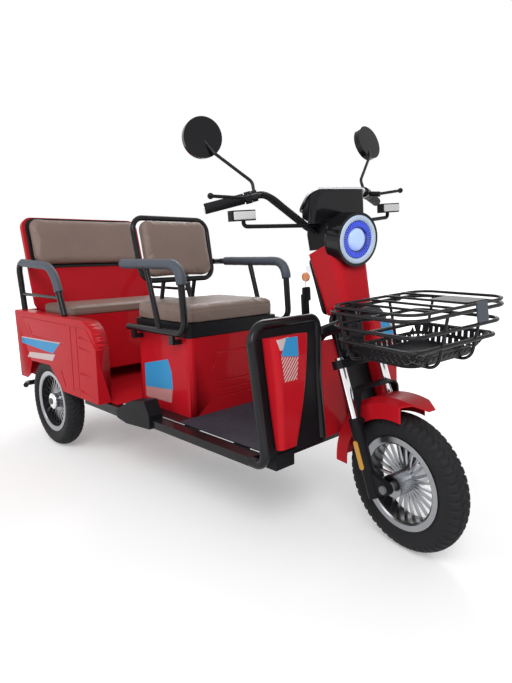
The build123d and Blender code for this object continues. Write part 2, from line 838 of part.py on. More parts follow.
with BuildPart() as frame:
    for side in (-1, 1):
        x = rail_x if side > 0 else (-rail_x[1], -rail_x[0])
        block(x, (behind(frame_front), behind(frame_back)), rail_z)
    for y in cross_members:
        block((-rail_x[0], rail_x[0]), (behind(y), behind(y + member_depth)), member_z)
    for side in (-1, 1):
        for y in outrigger_y:
            x = (rail_x[1], sill_x[0]) if side > 0 else (-sill_x[0], -rail_x[1])
            block(x, (behind(y), behind(y + member_depth)), (sill_z[0], sill_z[1] - 4.0))
        x = (rail_x[1] - 2.0, spring_x[1] + 6.0) if side > 0 else (-spring_x[1] - 6.0, -rail_x[1] + 2.0)
        for y in spring_eye_y:
            round_bar((x[0], behind(y), spring_eye_z), (x[1], behind(y), spring_eye_z), spring_pin_radius)
    head_low = on_axis(head_tube_low)
    head_high = on_axis(head_tube_high)
    round_bar(head_low, head_high, head_tube_radius)
    bent_tube(
        [
            on_axis(head_tube_high - 40.0),
            (0, behind(down_tube_y), down_tube_top),
            (0, behind(down_tube_y), rail_z[0] + 6.0),
        ],
        [60.0],
        down_tube_radius,
    )
    block((-30.0, 30.0), (behind(frame_front), behind(down_tube_y + 20.0)), member_z)
    round_bar(
        on_axis(head_tube_low - 10.0),
        on_axis(head_tube_high + 10.0),
        stem_hole,
        mode=Mode.SUBTRACT,
    )
frame.part.label = "frame"
export_step(frame.part, "parts/frame.step")

# ---------- floor, sills and side covers ----------
floor_half_width = 288.0
floor_front = 312.0
floor_back = 1098.0
mat_thickness = 3.0

with BuildPart() as floor_pan:
    block(
        (-floor_half_width, floor_half_width),
        (behind(floor_front), behind(floor_back)),
        (rail_z[1], floor_top - mat_thickness),
    )
    tube_hole = down_tube_radius + seat_clearance
    tube_foot = (0, behind(down_tube_y), rail_z[0])
    tube_knee = (0, behind(down_tube_y), floor_top + 10.0)
    round_bar(tube_foot, tube_knee, tube_hole, mode=Mode.SUBTRACT)
floor_pan.part.label = "floor_pan"
export_step(floor_pan.part, "parts/floor_pan.step")

box_front = 743.0
box_back = 1087.0
box_half_width = 230.0
with BuildPart() as floor_mat:
    block(
        (-floor_half_width, floor_half_width),
        (behind(floor_front + 14.0), behind(box_front - 2.0)),
        (floor_top - mat_thickness, floor_top),
        10.0,
    )
    round_bar(tube_foot, tube_knee, tube_hole, mode=Mode.SUBTRACT)
floor_mat.part.label = "floor_mat"
export_step(floor_mat.part, "parts/floor_mat.step")

with BuildPart() as sills:
    for side in (-1, 1):
        x = sill_x if side > 0 else (-sill_x[1], -sill_x[0])
        block(x, (behind(sill_y[0]), behind(sill_y[1])), sill_z)
        x = (298.0, 340.0) if side > 0 else (-340.0, -298.0)
        block(x, (behind(1068.0), behind(1352.0)), (248.0, 284.0))
sills.part.label = "sills"
export_step(sills.part, "parts/sills.step")

cover_x = (292.0, 350.0)
with BuildPart() as side_covers:
    for side in (-1, 1):
        x = cover_x[0] if side > 0 else -cover_x[1]
        with BuildSketch(Plane.YZ.offset(x)) as outline:
            with BuildLine():
                Polyline(
                    (behind(838.5), 252.0),
                    (behind(838.5), 300.0),
                    (behind(868.0), 352.0),
                    (behind(962.0), 336.0),
                    (behind(1067.5), 282.0),
                    (behind(1067.5), 250.0),
                    (behind(1000.0), 240.0),
                    close=True,
                )
            make_face()
        extrude(amount=cover_x[1] - cover_x[0])
        arm = (rail_x[1] + 0.2, cover_x[0]) if side > 0 else (-cover_x[0], -rail_x[1] - 0.2)
        block(arm, (behind(930.0), behind(960.0)), (252.0, 282.0))
side_covers.part.label = "side_covers"
export_step(side_covers.part, "parts/side_covers.step")

# ---------- leg shield ----------
shield_lean = 9.0
shield_foot_y = 262.0
shield_foot_z = 300.0
loop_outer_x = 335.0
loop_top = 376.0
loop_top_x = 40.0
loop_knee = (72.0, 180.0)
loop_foot_x = 82.0
loop_radius = 15.0
loop_bends = [34.0, 62.0, 26.0, 300.0]
lean_up = Vector(0, math.sin(math.radians(shield_lean)), math.cos(math.radians(shield_lean)))
lean_forward = Vector(0, -math.cos(math.radians(shield_lean)), math.sin(math.radians(shield_lean)))


def shield_plane(forward=0.0):
    """The leaning plane of the leg shield, local x to the left and local y up the lean."""
    origin = Vector(0, behind(shield_foot_y), shield_foot_z) + lean_forward * forward
    return Plane(origin=origin, x_dir=(1, 0, 0), z_dir=lean_forward)


def on_shield(x, up, forward=0.0):
    """A point of the leg shield's plane, or in front of it."""
    return Vector(x, behind(shield_foot_y), shield_foot_z) + lean_up * up + lean_forward * forward


with BuildPart() as shield_frame:
    for side in (-1, 1):
        bent_tube(
            [
                (side * loop_outer_x, behind(sill_y[0]) - seat_clearance, sill_z[0] + loop_radius),
                (side * loop_outer_x, behind(shield_foot_y - 5.0), sill_z[0] + loop_radius),
                on_shield(side * loop_outer_x, loop_top),
                on_shield(side * loop_top_x, loop_top),
                on_shield(side * loop_knee[0], loop_knee[1]),
                on_shield(side * loop_foot_x, -2.0),
            ],
            loop_bends,
            loop_radius,
        )
shield_frame.part.label = "shield_frame"
export_step(shield_frame.part, "parts/shield_frame.step")

liner_thickness = 12.0
liner_bottom = floor_top + seat_clearance
toe_box_x = (222.0, 300.0)
toe_box_y = (252.0, 308.0)
toe_box_z = (250.0, 298.0)

with BuildPart() as shield_liner:
    for side in (-1, 1):
        with BuildSketch(shield_plane(-liner_thickness / 2)) as outline:
            with BuildLine():
                edge = FilletPolyline(
                    (side * loop_outer_x, -20.0),
                    (side * loop_outer_x, loop_top),
                    (side * loop_top_x, loop_top),
                    (side * loop_knee[0], loop_knee[1]),
                    (side * loop_foot_x, -20.0),
                    radius=loop_bends[1:],
                )
                Line(edge @ 1, edge @ 0)
            make_face()
        extrude(outline.sketch, amount=liner_thickness)
    block(
        (-body_half_width, body_half_width),
        (behind(shield_foot_y - 60.0), behind(shield_foot_y + 60.0)),
        (rail_z[0] - 40.0, liner_bottom),
        mode=Mode.SUBTRACT,
    )
    for side in (-1, 1):
        x = toe_box_x if side > 0 else (-toe_box_x[1], -toe_box_x[0])
        block(x, (behind(toe_box_y[0]), behind(toe_box_y[1])), toe_box_z)
    add(shield_frame.part, mode=Mode.SUBTRACT)
shield_liner.part.label = "shield_liner"
export_step(shield_liner.part, "parts/shield_liner.step")

wing_sections = ((14.0, 269.0, 36.0, 34.0), (190.0, 248.0, 60.0, 56.0), (337.0, 233.0, 74.0, 62.0))
wing_corner = 16.0

with BuildPart() as shield_wings:
    for side in (-1, 1):
        sections = []
        for up, centre, half, deep in wing_sections:
            origin = on_shield(side * centre, up, liner_thickness / 2 + seat_clearance + deep / 2)
            with BuildSketch(Plane(origin=origin, x_dir=(1, 0, 0), z_dir=lean_up)) as section:
                RectangleRounded(2 * half, deep, wing_corner)
            sections.append(section.sketch)
        loft(sections)
shield_wings.part.label = "shield_wings"
export_step(shield_wings.part, "parts/shield_wings.step")

panel_top = 298.0
panel_thickness = 14.0

with BuildPart() as front_panel:
    slope = (loop_knee[0] - loop_top_x) / (loop_top - loop_knee[1])
    room = loop_radius + seat_clearance + 0.5
    top_x = loop_knee[0] - slope * (panel_top - loop_knee[1]) - room
    with BuildSketch(shield_plane(-panel_thickness)) as outline:
        with BuildLine():
            Polyline(
                (-top_x, panel_top),
                (top_x, panel_top),
                (loop_knee[0] - room, loop_knee[1]),
                (loop_foot_x - room, -20.0),
                (room - loop_foot_x, -20.0),
                (room - loop_knee[0], loop_knee[1]),
                close=True,
            )
        make_face()
    extrude(outline.sketch, amount=panel_thickness)
    block(
        (-loop_foot_x, loop_foot_x),
        (behind(shield_foot_y - 60.0), behind(shield_foot_y + 60.0)),
        (rail_z[0] - 40.0, liner_bottom),
        mode=Mode.SUBTRACT,
    )
front_panel.part.label = "front_panel"
export_step(front_panel.part, "parts/front_panel.step")

# ---------- box under the rider, with its battery ----------
box_top = 578.0
with BuildPart() as rider_box:
    block(
        (-box_half_width, box_half_width),
        (behind(box_front), behind(box_back)),
        (floor_top - mat_thickness + 0.2, box_top),
        26.0,
    )
    block(
        (-box_half_width + wall, box_half_width - wall),
        (behind(box_front + wall), behind(box_back - wall)),
        (floor_top - mat_thickness + wall, box_top + 1.0),
        22.0,
        mode=Mode.SUBTRACT,
    )
rider_box.part.label = "rider_box"
export_step(rider_box.part, "parts/rider_box.step")

with BuildPart() as battery:
    block((-185.0, 185.0), (behind(790.0), behind(1040.0)), (floor_top - mat_thickness + wall + 0.2, 500.0))
battery.part.label = "battery"
export_step(battery.part, "parts/battery.step")

base_front = 748.0
base_back = 1107.0
cushion_step = 6.0
base_bottom = box_top + seat_clearance
base_top = 628.0
cushion_top = 690.0
base_half = box_half_width - 2.0
with BuildPart() as rider_base:
    block((-base_half, base_half), (behind(base_front), behind(base_back)), (base_bottom, base_top), 24.0)
rider_base.part.label = "rider_base"
export_step(rider_base.part, "parts/rider_base.step")

with BuildPart() as rider_cushion:
    block(
        (-base_half, base_half),
        (behind(base_front + cushion_step), behind(base_back)),
        (base_top + seat_clearance, cushion_top),
        34.0,
    )
    fillet(rider_cushion.faces().sort_by(Axis.Z)[-1].edges(), 18.0)
rider_cushion.part.label = "rider_cushion"
export_step(rider_cushion.part, "parts/rider_cushion.step")

# ---------- rider's backrest and armrests ----------
back_lean = 12.0
back_foot_y = 1104.0
back_foot_z = 771.0
back_half = 182.0
back_height = 258.0
back_tube = 11.0
rest_up = Vector(0, math.sin(math.radians(back_lean)), math.cos(math.radians(back_lean)))
rest_out = Vector(0, -math.cos(math.radians(back_lean)), math.sin(math.radians(back_lean)))


def on_backrest(x, up, forward=0.0):
    """A point of the rider's backrest plane, or in front of it."""
    return Vector(x, behind(back_foot_y), back_foot_z) + rest_up * up + rest_out * forward


support_x = 80.0
support_radius = 9.0
support_y = base_back + motion_clearance + support_radius
support_knee_z = 700.0
bracket_z = (545.0, 570.0)
bracket_half = 14.0
back_corner = 52.0
back_spread = 8.0

with BuildPart() as backrest_frame:
    with BuildLine() as route:
        FilletPolyline(
            on_backrest(back_half, 0),
            on_backrest(back_half + back_spread, back_height),
            on_backrest(-back_half - back_spread, back_height),
            on_backrest(-back_half, 0),
            radius=back_corner,
            close=True,
        )
    with BuildSketch(Plane(origin=route.line @ 0, z_dir=route.line % 0)) as section:
        Circle(back_tube)
    sweep(section.sketch, path=route.line)
    for side in (-1, 1):
        x = side * support_x
        bent_tube(
            [
                (x, behind(support_y), bracket_z[0] - 5.0),
                (x, behind(support_y), support_knee_z),
                (x, behind(back_foot_y), back_foot_z),
            ],
            [40.0],
            support_radius,
        )
        reach = (behind(box_back + seat_clearance), behind(support_y))
        block((x - bracket_half, x + bracket_half), reach, bracket_z)
backrest_frame.part.label = "backrest_frame"
export_step(backrest_frame.part, "parts/backrest_frame.step")

with BuildPart() as backrest_cushion:
    origin = on_backrest(0, back_height / 2, -12.0)
    with BuildSketch(Plane(origin=origin, x_dir=(1, 0, 0), z_dir=rest_out)):
        pad_width = 2 * (back_half - back_tube - 5.0)
        pad_height = back_height - 2 * (back_tube + seat_clearance)
        RectangleRounded(pad_width, pad_height, 42.0)
    extrude(amount=44.0)
    fillet(backrest_cushion.faces().sort_by(Axis.Y)[0].edges(), 14.0)
backrest_cushion.part.label = "backrest_cushion"
export_step(backrest_cushion.part, "parts/backrest_cushion.step")

arm_x = 264.0
arm_top = 842.0
arm_front = 738.0
arm_low = 600.0
arm_back = 1090.0
arm_radius = 12.5
arm_strut_radius = 10.5
pad_radius = 20.0
pad_back = 1112.0

arm_joint_y = 1118.5
arm_sweep_y = 1134.0
arm_bends = [26.0, 62.0, 46.0]
strut_top_y = 950.0
strut_foot_y = 875.0
arm_bracket_y = (800.0, 1050.0)
arm_bracket_z = (556.0, 572.0)
arm_bracket_half = 12.0
arm_bracket_thick = 6.0

with BuildPart() as armrests:
    for side in (-1, 1):
        bent_tube(
            [
                (side * (back_half + back_tube + 4.0), behind(arm_joint_y), arm_top),
                (side * arm_x, behind(arm_sweep_y), arm_top),
                (side * (arm_x + 0.5), behind(arm_front), arm_top),
                (side * arm_x, behind(arm_front - 20.0), arm_low),
                (side * (arm_x - 0.5), behind(arm_back), arm_low - 2.0),
            ],
            arm_bends,
            arm_radius,
        )
        strut_top = (side * arm_x, behind(strut_top_y), arm_top)
        round_bar(strut_top, (side * arm_x, behind(strut_foot_y), arm_low), arm_strut_radius)
        for y in arm_bracket_y:
            near = box_half_width + seat_clearance
            far = arm_x + arm_bracket_thick
            upright = arm_x - arm_bracket_thick
            flat_x = (near, far) if side > 0 else (-far, -near)
            upright_x = (upright, far) if side > 0 else (-far, -upright)
            span = (behind(y - arm_bracket_half), behind(y + arm_bracket_half))
            block(flat_x, span, arm_bracket_z)
            block(upright_x, span, (arm_bracket_z[0], arm_low - 4.0))
armrests.part.label = "armrests"
export_step(armrests.part, "parts/armrests.step")

# ---------- rear body ----------
body_front = 1145.0
body_back = 1954.0
body_top = 618.0
body_wall_depth = 58.0
body_corner = 110.0
body_inner_x = body_half_width - body_wall_depth
body_slant = 20.0
well_radius = 236.0
well_skin = 3.0
well_inner_x = rear_wheel_x - 60.0
arch_points = (
    (1440.0, 280.0),
    (1462.0, 290.0),
    (1585.0, 390.0),
    (1790.0, 384.0),
    (1829.0, 306.0),
    (1880.0, 280.0),
)
sheet = 4.0
tail_corner = 12.0


def side_outline(x, inset, bottom):
    """The rear body's side seen square on, drawn in by an inset, on a plane at this X."""
    with BuildSketch(Plane.YZ.offset(x)) as outline:
        with BuildLine():
            edge = FilletPolyline(
                (behind(body_front + inset), bottom),
                (behind(body_front + inset), body_top - inset),
                (behind(body_back - inset), body_top - inset),
                (behind(body_back - body_slant - inset), bottom),
                radius=[body_corner - inset, tail_corner - inset],
            )
            Line(edge @ 1, edge @ 0)
        make_face()
    return outline.sketch


with BuildPart() as body_sides:
    for side in (-1, 1):
        base = body_inner_x if side > 0 else -body_half_width
        extrude(side_outline(base, 0.0, floor_top), amount=body_wall_depth)
        cavity = side_outline(base + sheet, sheet, floor_top - 1.0)
        extrude(cavity, amount=body_wall_depth - 2 * sheet, mode=Mode.SUBTRACT)
        hub = (behind(wheelbase), tyre_radius)
        well_from = (side * (well_inner_x - well_skin), hub[0], hub[1])
        well_to = (side * (body_half_width - sheet), hub[0], hub[1])
        round_bar(well_from, (side * (body_inner_x + sheet), hub[0], hub[1]), well_radius + well_skin)
        round_bar((side * well_inner_x, hub[0], hub[1]), well_to, well_radius, mode=Mode.SUBTRACT)
    below = (behind(wheelbase - 300.0), behind(wheelbase + 270.0))
    block((-body_half_width, body_half_width), below, (-tyre_radius, floor_top), mode=Mode.SUBTRACT)
    for base in (-body_half_width - sheet, body_half_width - 2 * sheet):
        with BuildSketch(Plane.YZ.offset(base)) as arch:
            with BuildLine():
                Polyline(*[(behind(y), z) for y, z in arch_points], close=True)
            make_face()
        extrude(arch.sketch, amount=3 * sheet, mode=Mode.SUBTRACT)
body_sides.part.label = "body_sides"
export_step(body_sides.part, "parts/body_sides.step")

inside_half = body_inner_x - seat_clearance


def clear_wells():
    """Cuts the space of both wheel housings from the open part."""
    for side in (-1, 1):
        start = (side * (well_inner_x - well_skin - seat_clearance), behind(wheelbase), tyre_radius)
        end = (side * (body_inner_x + 1.0), behind(wheelbase), tyre_radius)
        round_bar(start, end, well_radius + well_skin + seat_clearance, mode=Mode.SUBTRACT)


tail_y = body_back - 24.0

with BuildPart() as body_floor:
    block(
        (-inside_half, inside_half),
        (behind(floor_back + 4.0), behind(tail_y - 2.0)),
        (rail_z[1], floor_top),
    )
    block((-inside_half, inside_half), (behind(tail_y - sheet), behind(tail_y)), (rail_z[1], body_top))
    clear_wells()
body_floor.part.label = "body_floor"
export_step(body_floor.part, "parts/body_floor.step")

bench_front = 1500.0
bench_back = 1900.0
bench_top = 610.0
bench_low = 350.0
bench_lip = 60.0
bench_cushion_back = 1800.0
bench_cushion_half = 312.0
bench_cushion_top = 648.0

with BuildPart() as bench_box:
    across = (-inside_half, inside_half)
    block(across, (behind(bench_front), behind(bench_back)), (bench_top - sheet, bench_top))
    block(across, (behind(bench_front), behind(bench_front + sheet)), (bench_low, bench_top))
    block(across, (behind(bench_front), behind(bench_front + bench_lip)), (bench_low, bench_low + sheet))
    clear_wells()
bench_box.part.label = "bench_box"
export_step(bench_box.part, "parts/bench_box.step")

with BuildPart() as bench_cushion:
    block(
        (-bench_cushion_half, bench_cushion_half),
        (behind(bench_front - 6.0), behind(bench_cushion_back)),
        (bench_top + seat_clearance, bench_cushion_top),
        20.0,
    )
    fillet(bench_cushion.faces().sort_by(Axis.Z)[-1].edges(), 10.0)
bench_cushion.part.label = "bench_cushion"
export_step(bench_cushion.part, "parts/bench_cushion.step")

rear_lean = 15.0
rear_foot = (1832.0, bench_top + seat_clearance)
rear_half = 322.0
rear_height = 470.0
rear_up = Vector(0, math.sin(math.radians(rear_lean)), math.cos(math.radians(rear_lean)))
rear_out = Vector(0, -math.cos(math.radians(rear_lean)), math.sin(math.radians(rear_lean)))


def on_rear(x, up, forward=0.0):
    """A point of the rear backrest's plane, or in front of it."""
    return Vector(x, behind(rear_foot[0]), rear_foot[1]) + rear_up * up + rear_out * forward


rear_thickness = 24.0
rear_corner = 52.0
rear_pad = (300.0, 236.0, 340.0)
rear_pad_depth = 40.0

with BuildPart() as rear_backrest:
    origin = on_rear(0, rear_height / 2, -rear_thickness)
    with BuildSketch(Plane(origin=origin, x_dir=(1, 0, 0), z_dir=rear_out)):
        RectangleRounded(2 * rear_half, rear_height, rear_corner)
    extrude(amount=rear_thickness)
    under = (behind(rear_foot[0] - 120.0), behind(rear_foot[0] + 150.0))
    block((-rear_half, rear_half), under, (bench_low, rear_foot[1]), mode=Mode.SUBTRACT)
rear_backrest.part.label = "rear_backrest"
export_step(rear_backrest.part, "parts/rear_backrest.step")

with BuildPart() as rear_cushion:
    with BuildSketch(Plane(origin=on_rear(0, rear_pad[2], seat_clearance), x_dir=(1, 0, 0), z_dir=rear_out)):
        RectangleRounded(2 * rear_pad[0], rear_pad[1], rear_corner - 6.0)
    extrude(amount=rear_pad_depth)
    fillet(rear_cushion.faces().sort_by(Axis.Y)[0].edges(), 14.0)
rear_cushion.part.label = "rear_cushion"
export_step(rear_cushion.part, "parts/rear_cushion.step")

side_rail_x = 349.0
side_rail_radius = 14.0
rail_post = (1912.0, body_top + 0.2)
rail_rear = (1950.0, 848.0)
rail_front = (1562.0, 829.0)
rail_foot = (1474.0, body_top + 0.2)
rail_bends = [44.0, 128.0]
rail_bar_z = 694.0
rail_bar_radius = 8.0
pad_ends = (0.13, 0.54)


def between(start, end, share):
    """The point this share of the way from one side-view point to another."""
    return tuple(a + (b - a) * share for a, b in zip(start, end))


def at_height(low, high, z):
    """The point at this height on the line through two side-view points."""
    return between(low, high, (z - low[1]) / (high[1] - low[1]))


def on_side(x, point):
    """A side-view point, given as a distance behind the front axle and a height, at this X."""
    return (x, behind(point[0]), point[1])


with BuildPart() as side_rails:
    for side in (-1, 1):
        x = side * side_rail_x
        bent_tube(
            [on_side(x, rail_post), on_side(x, rail_rear), on_side(x, rail_front), on_side(x, rail_foot)],
            rail_bends,
            side_rail_radius,
        )
        bar_start = on_side(x, at_height(rail_foot, rail_front, rail_bar_z))
        round_bar(bar_start, on_side(x, at_height(rail_post, rail_rear, rail_bar_z)), rail_bar_radius)
    feet = (behind(rail_foot[0] - 60.0), behind(rail_post[0] + 60.0))
    block((-body_half_width, body_half_width), feet, (body_top - 40.0, body_top), mode=Mode.SUBTRACT)
side_rails.part.label = "side_rails"
export_step(side_rails.part, "parts/side_rails.step")

with BuildPart() as arm_pads:
    for side in (-1, 1):
        bent_tube(
            [
                (side * arm_x, behind(pad_back), arm_top),
                (side * (arm_x + 0.3), behind(arm_front), arm_top),
                (side * arm_x, behind(arm_front - 7.0), arm_top - 72.0),
            ],
            [62.0],
            pad_radius,
        )
        x = side * side_rail_x
        pad_start = on_side(x, between(rail_rear, rail_front, pad_ends[0]))
        pad_end = on_side(x, between(rail_front, rail_foot, pad_ends[1]))
        bent_tube([pad_start, on_side(x, rail_front), pad_end], [rail_bends[1]], pad_radius)
    add(armrests.part, mode=Mode.SUBTRACT)
    add(side_rails.part, mode=Mode.SUBTRACT)
arm_pads.part.label = "arm_pads"
export_step(arm_pads.part, "parts/arm_pads.step")

# ---------- rear axle, springs and bumper ----------
beam_radius = 25.0
beam_half = rear_hub_inner - 19.0
gearcase = (-70.0, 20.0, 68.0)
motor = (20.0, 150.0, 62.0)
motor_drop = 6.0
motor_forward = 10.0
brake_plate = (rear_hub_inner - 23.0, rear_hub_inner - 9.0)
brake_radius = 58.0
axle_nut_length = 13.0
spacer_radius = 15.0
saddle_half = 30.0
saddle_rise = 6.0


def across_bar(start, end, y, z, radius):
    """Adds a round bar along X between two X values."""
    round_bar((start, y, z), (end, y, z), radius)


with BuildPart() as rear_axle:
    axle_y = behind(wheelbase)
    across_bar(-beam_half, beam_half, axle_y, tyre_radius, beam_radius)
    across_bar(gearcase[0], gearcase[1], axle_y, tyre_radius - motor_drop, gearcase[2])
    across_bar(motor[0], motor[1], axle_y - motor_forward, tyre_radius - motor_drop, motor[2])
    for side in (-1, 1):
        across_bar(side * brake_plate[0], side * brake_plate[1], axle_y, tyre_radius, brake_radius)
        stub_start = side * (beam_half - 2.0)
        stub_end = side * (rear_hub_outer + axle_nut_length + 1.0)
        across_bar(stub_start, stub_end, axle_y, tyre_radius, rear_stub_radius)
        nut_start = side * (rear_hub_outer + seat_clearance)
        nut_end = side * (rear_hub_outer + axle_nut_length)
        across_bar(nut_start, nut_end, axle_y, tyre_radius, spacer_radius)
        spacer_end = side * (rear_hub_inner - seat_clearance)
        across_bar(side * brake_plate[1], spacer_end, axle_y, tyre_radius, spacer_radius)
        x = spring_x if side > 0 else (-spring_x[1], -spring_x[0])
        saddle = (axle_y - saddle_half, axle_y + saddle_half)
        block(x, saddle, (tyre_radius, tyre_radius + beam_radius + saddle_rise))
rear_axle.part.label = "rear_axle"
export_step(rear_axle.part, "parts/rear_axle.step")

spring_seat_z = tyre_radius + beam_radius + saddle_rise + seat_clearance
spring_leaf = 9.0
eye_radius = 12.0
with BuildPart() as leaf_springs:
    for side in (-1, 1):
        x = spring_x[0] if side > 0 else -spring_x[1]
        with BuildSketch(Plane.YZ.offset(x)) as leaf:
            with BuildLine():
                under = ThreePointArc(
                    (behind(spring_eye_y[0]), spring_eye_z - eye_radius + 1.0),
                    (behind(wheelbase), spring_seat_z),
                    (behind(spring_eye_y[1]), spring_eye_z - eye_radius + 1.0),
                )
                over = ThreePointArc(
                    (behind(spring_eye_y[0]), spring_eye_z - eye_radius + 1.0 + spring_leaf),
                    (behind(wheelbase), spring_seat_z + spring_leaf),
                    (behind(spring_eye_y[1]), spring_eye_z - eye_radius + 1.0 + spring_leaf),
                )
                Line(under @ 0, over @ 0)
                Line(under @ 1, over @ 1)
            make_face()
        extrude(leaf.sketch, amount=spring_x[1] - spring_x[0])
        for y in spring_eye_y:
            across = x + spring_x[1] - spring_x[0]
            round_bar((x, behind(y), spring_eye_z), (across, behind(y), spring_eye_z), eye_radius)
        for y in spring_eye_y:
            start = (x - 1.0, behind(y), spring_eye_z)
            end = (x + spring_x[1] - spring_x[0] + 1.0, behind(y), spring_eye_z)
            round_bar(start, end, spring_pin_radius + running_clearance, mode=Mode.SUBTRACT)
leaf_springs.part.label = "leaf_springs"
export_step(leaf_springs.part, "parts/leaf_springs.step")

bumper_y = 2016.0
bumper_z = 226.0
bumper_half = 330.0
bumper_turn = (22.0, 40.0)
bumper_radius = 13.0

with BuildPart() as rear_bumper:
    end = (bumper_half + bumper_turn[0], behind(bumper_y - bumper_turn[1]), bumper_z)
    corner = (bumper_half, behind(bumper_y), bumper_z)
    bent_tube([mirrored(end), mirrored(corner), corner, end], [20.0, 20.0], bumper_radius)
    for side in (-1, 1):
        x = rail_x if side > 0 else (-rail_x[1], -rail_x[0])
        block(x, (behind(frame_back + 0.2), behind(bumper_y)), (bumper_z - 8.0, rail_z[0] + 20.0))
rear_bumper.part.label = "rear_bumper"
export_step(rear_bumper.part, "parts/rear_bumper.step")

tail_lamp_x = (235.0, 312.0)
tail_lamp_z = (470.0, 545.0)
tail_lamp_depth = 30.0

with BuildPart() as tail_lamps:
    for side in (-1, 1):
        x = tail_lamp_x if side > 0 else (-tail_lamp_x[1], -tail_lamp_x[0])
        block(x, (behind(tail_y + 0.2), behind(tail_y + tail_lamp_depth)), tail_lamp_z)
tail_lamps.part.label = "tail_lamps"
export_step(tail_lamps.part, "parts/tail_lamps.step")
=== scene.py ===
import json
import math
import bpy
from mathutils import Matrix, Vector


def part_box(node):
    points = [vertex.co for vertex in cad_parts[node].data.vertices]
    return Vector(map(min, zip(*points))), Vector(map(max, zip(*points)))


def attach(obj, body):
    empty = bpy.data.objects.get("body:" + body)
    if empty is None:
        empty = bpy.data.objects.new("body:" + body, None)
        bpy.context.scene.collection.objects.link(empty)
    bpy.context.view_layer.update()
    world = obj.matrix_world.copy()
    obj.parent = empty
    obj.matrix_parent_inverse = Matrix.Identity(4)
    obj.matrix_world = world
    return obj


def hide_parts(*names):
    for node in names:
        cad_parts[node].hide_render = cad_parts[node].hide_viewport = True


bl_info = {
    "name": "Electric Cargo Tricycle",
    "version": (1, 0, 0),
    "blender": (4, 5, 0),
    "location": "View3D > Sidebar > Tricycle",
    "description": "Builds a three-wheeled electric utility vehicle around its packed frame",
    "category": "Object",
}

import bmesh
import bpy
import numpy as np
from bpy.props import FloatProperty, FloatVectorProperty, PointerProperty
from mathutils import Matrix, Vector, noise

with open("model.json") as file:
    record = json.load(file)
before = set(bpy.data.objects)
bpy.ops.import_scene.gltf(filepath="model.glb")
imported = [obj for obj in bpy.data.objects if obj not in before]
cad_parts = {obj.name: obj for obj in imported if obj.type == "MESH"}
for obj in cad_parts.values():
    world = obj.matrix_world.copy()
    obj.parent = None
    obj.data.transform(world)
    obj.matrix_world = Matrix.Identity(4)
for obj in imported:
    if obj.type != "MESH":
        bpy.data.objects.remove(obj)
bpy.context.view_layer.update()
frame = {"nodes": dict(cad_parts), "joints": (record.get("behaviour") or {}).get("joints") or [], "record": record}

MM = 0.001
SAME_POINT = 1e-6
UP = (0, 0, 1)
JOINTS = {joint["name"]: joint for joint in frame["joints"]}

# ---------- steering geometry, taken from the frame ----------
STEER_AXIS = Vector(JOINTS["steering"]["axis"]).normalized()
STEER_POINT = Vector(JOINTS["steering"]["pos_m"])
PARKED_STEER = math.radians(-12.0)


def parked_matrix():
    """The turn from straight ahead to the angle that the handlebar is parked at."""
    to_axis = Matrix.Translation(STEER_POINT)
    return to_axis @ Matrix.Rotation(PARKED_STEER, 4, STEER_AXIS) @ to_axis.inverted()


FRONT_AXLE_Y = (parked_matrix().inverted() @ Vector(JOINTS["front_wheel_spin"]["pos_m"])).y


def place(x, behind, z):
    """A point in metres, from millimetres, its Y counted back from the front axle."""
    return Vector((x * MM, FRONT_AXLE_Y + behind * MM, z * MM))


def box_middle(node):
    """The middle of a frame node's box."""
    low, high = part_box(node)
    return (Vector(low) + Vector(high)) / 2


# ---------- settings ----------
class TricycleFinish(bpy.types.PropertyGroup):
    """Colours that a user would change."""

    body_paint: FloatVectorProperty(
        name="Body paint",
        description="Colour of the painted body panels",
        subtype="COLOR",
        default=(0.50, 0.010, 0.018),
        min=0.0,
        max=1.0,
    )
    leather: FloatVectorProperty(
        name="Cushions",
        description="Colour of the cushions' covers",
        subtype="COLOR",
        default=(0.20, 0.135, 0.11),
        min=0.0,
        max=1.0,
    )


class TricycleStage(bpy.types.PropertyGroup):
    """Where the camera stands and looks."""

    camera_back: FloatProperty(
        name="Camera place behind axle",
        description="How far the camera is behind the front axle",
        subtype="DISTANCE",
        default=-0.777,
    )
    camera_x: FloatProperty(
        name="Camera side", description="The camera's X", subtype="DISTANCE", default=-1.366
    )
    camera_z: FloatProperty(
        name="Camera height", description="The camera's height", subtype="DISTANCE", default=0.877
    )
    camera_yaw: FloatProperty(
        name="Camera heading",
        description="Heading of the view, from straight back towards the vehicle's left",
        subtype="ANGLE",
        default=math.radians(43.93),
    )
    camera_pitch: FloatProperty(
        name="Camera pitch",
        description="Upward tilt of the view",
        subtype="ANGLE",
        default=math.radians(-9.35),
    )
    camera_roll: FloatProperty(
        name="Camera roll",
        description="Roll of the view about its own axis",
        subtype="ANGLE",
        default=math.radians(-0.8),
    )
    lens: FloatProperty(
        name="Lens", description="Focal length in millimetres", default=28.39, min=10.0, max=200.0
    )


# ---------- shader nodes ----------
def feed(tree, socket, value):
    """Links a socket to another one, or sets it to a plain value."""
    if isinstance(value, bpy.types.NodeSocket):
        tree.links.new(value, socket)
    else:
        socket.default_value = value


def compute(tree, operation, *values, clamp=False):
    """The result of a math node on sockets or plain numbers."""
    node = tree.nodes.new("ShaderNodeMath")
    node.operation = operation
    node.use_clamp = clamp
    for socket, value in zip(node.inputs, values):
        feed(tree, socket, value)
    return node.outputs[0]


def compute_vector(tree, operation, *values, result="Vector"):
    """The result of a vector math node on sockets or plain vectors."""
    node = tree.nodes.new("ShaderNodeVectorMath")
    node.operation = operation
    for socket, value in zip(node.inputs, values):
        feed(tree, socket, value)
    return node.outputs[result]


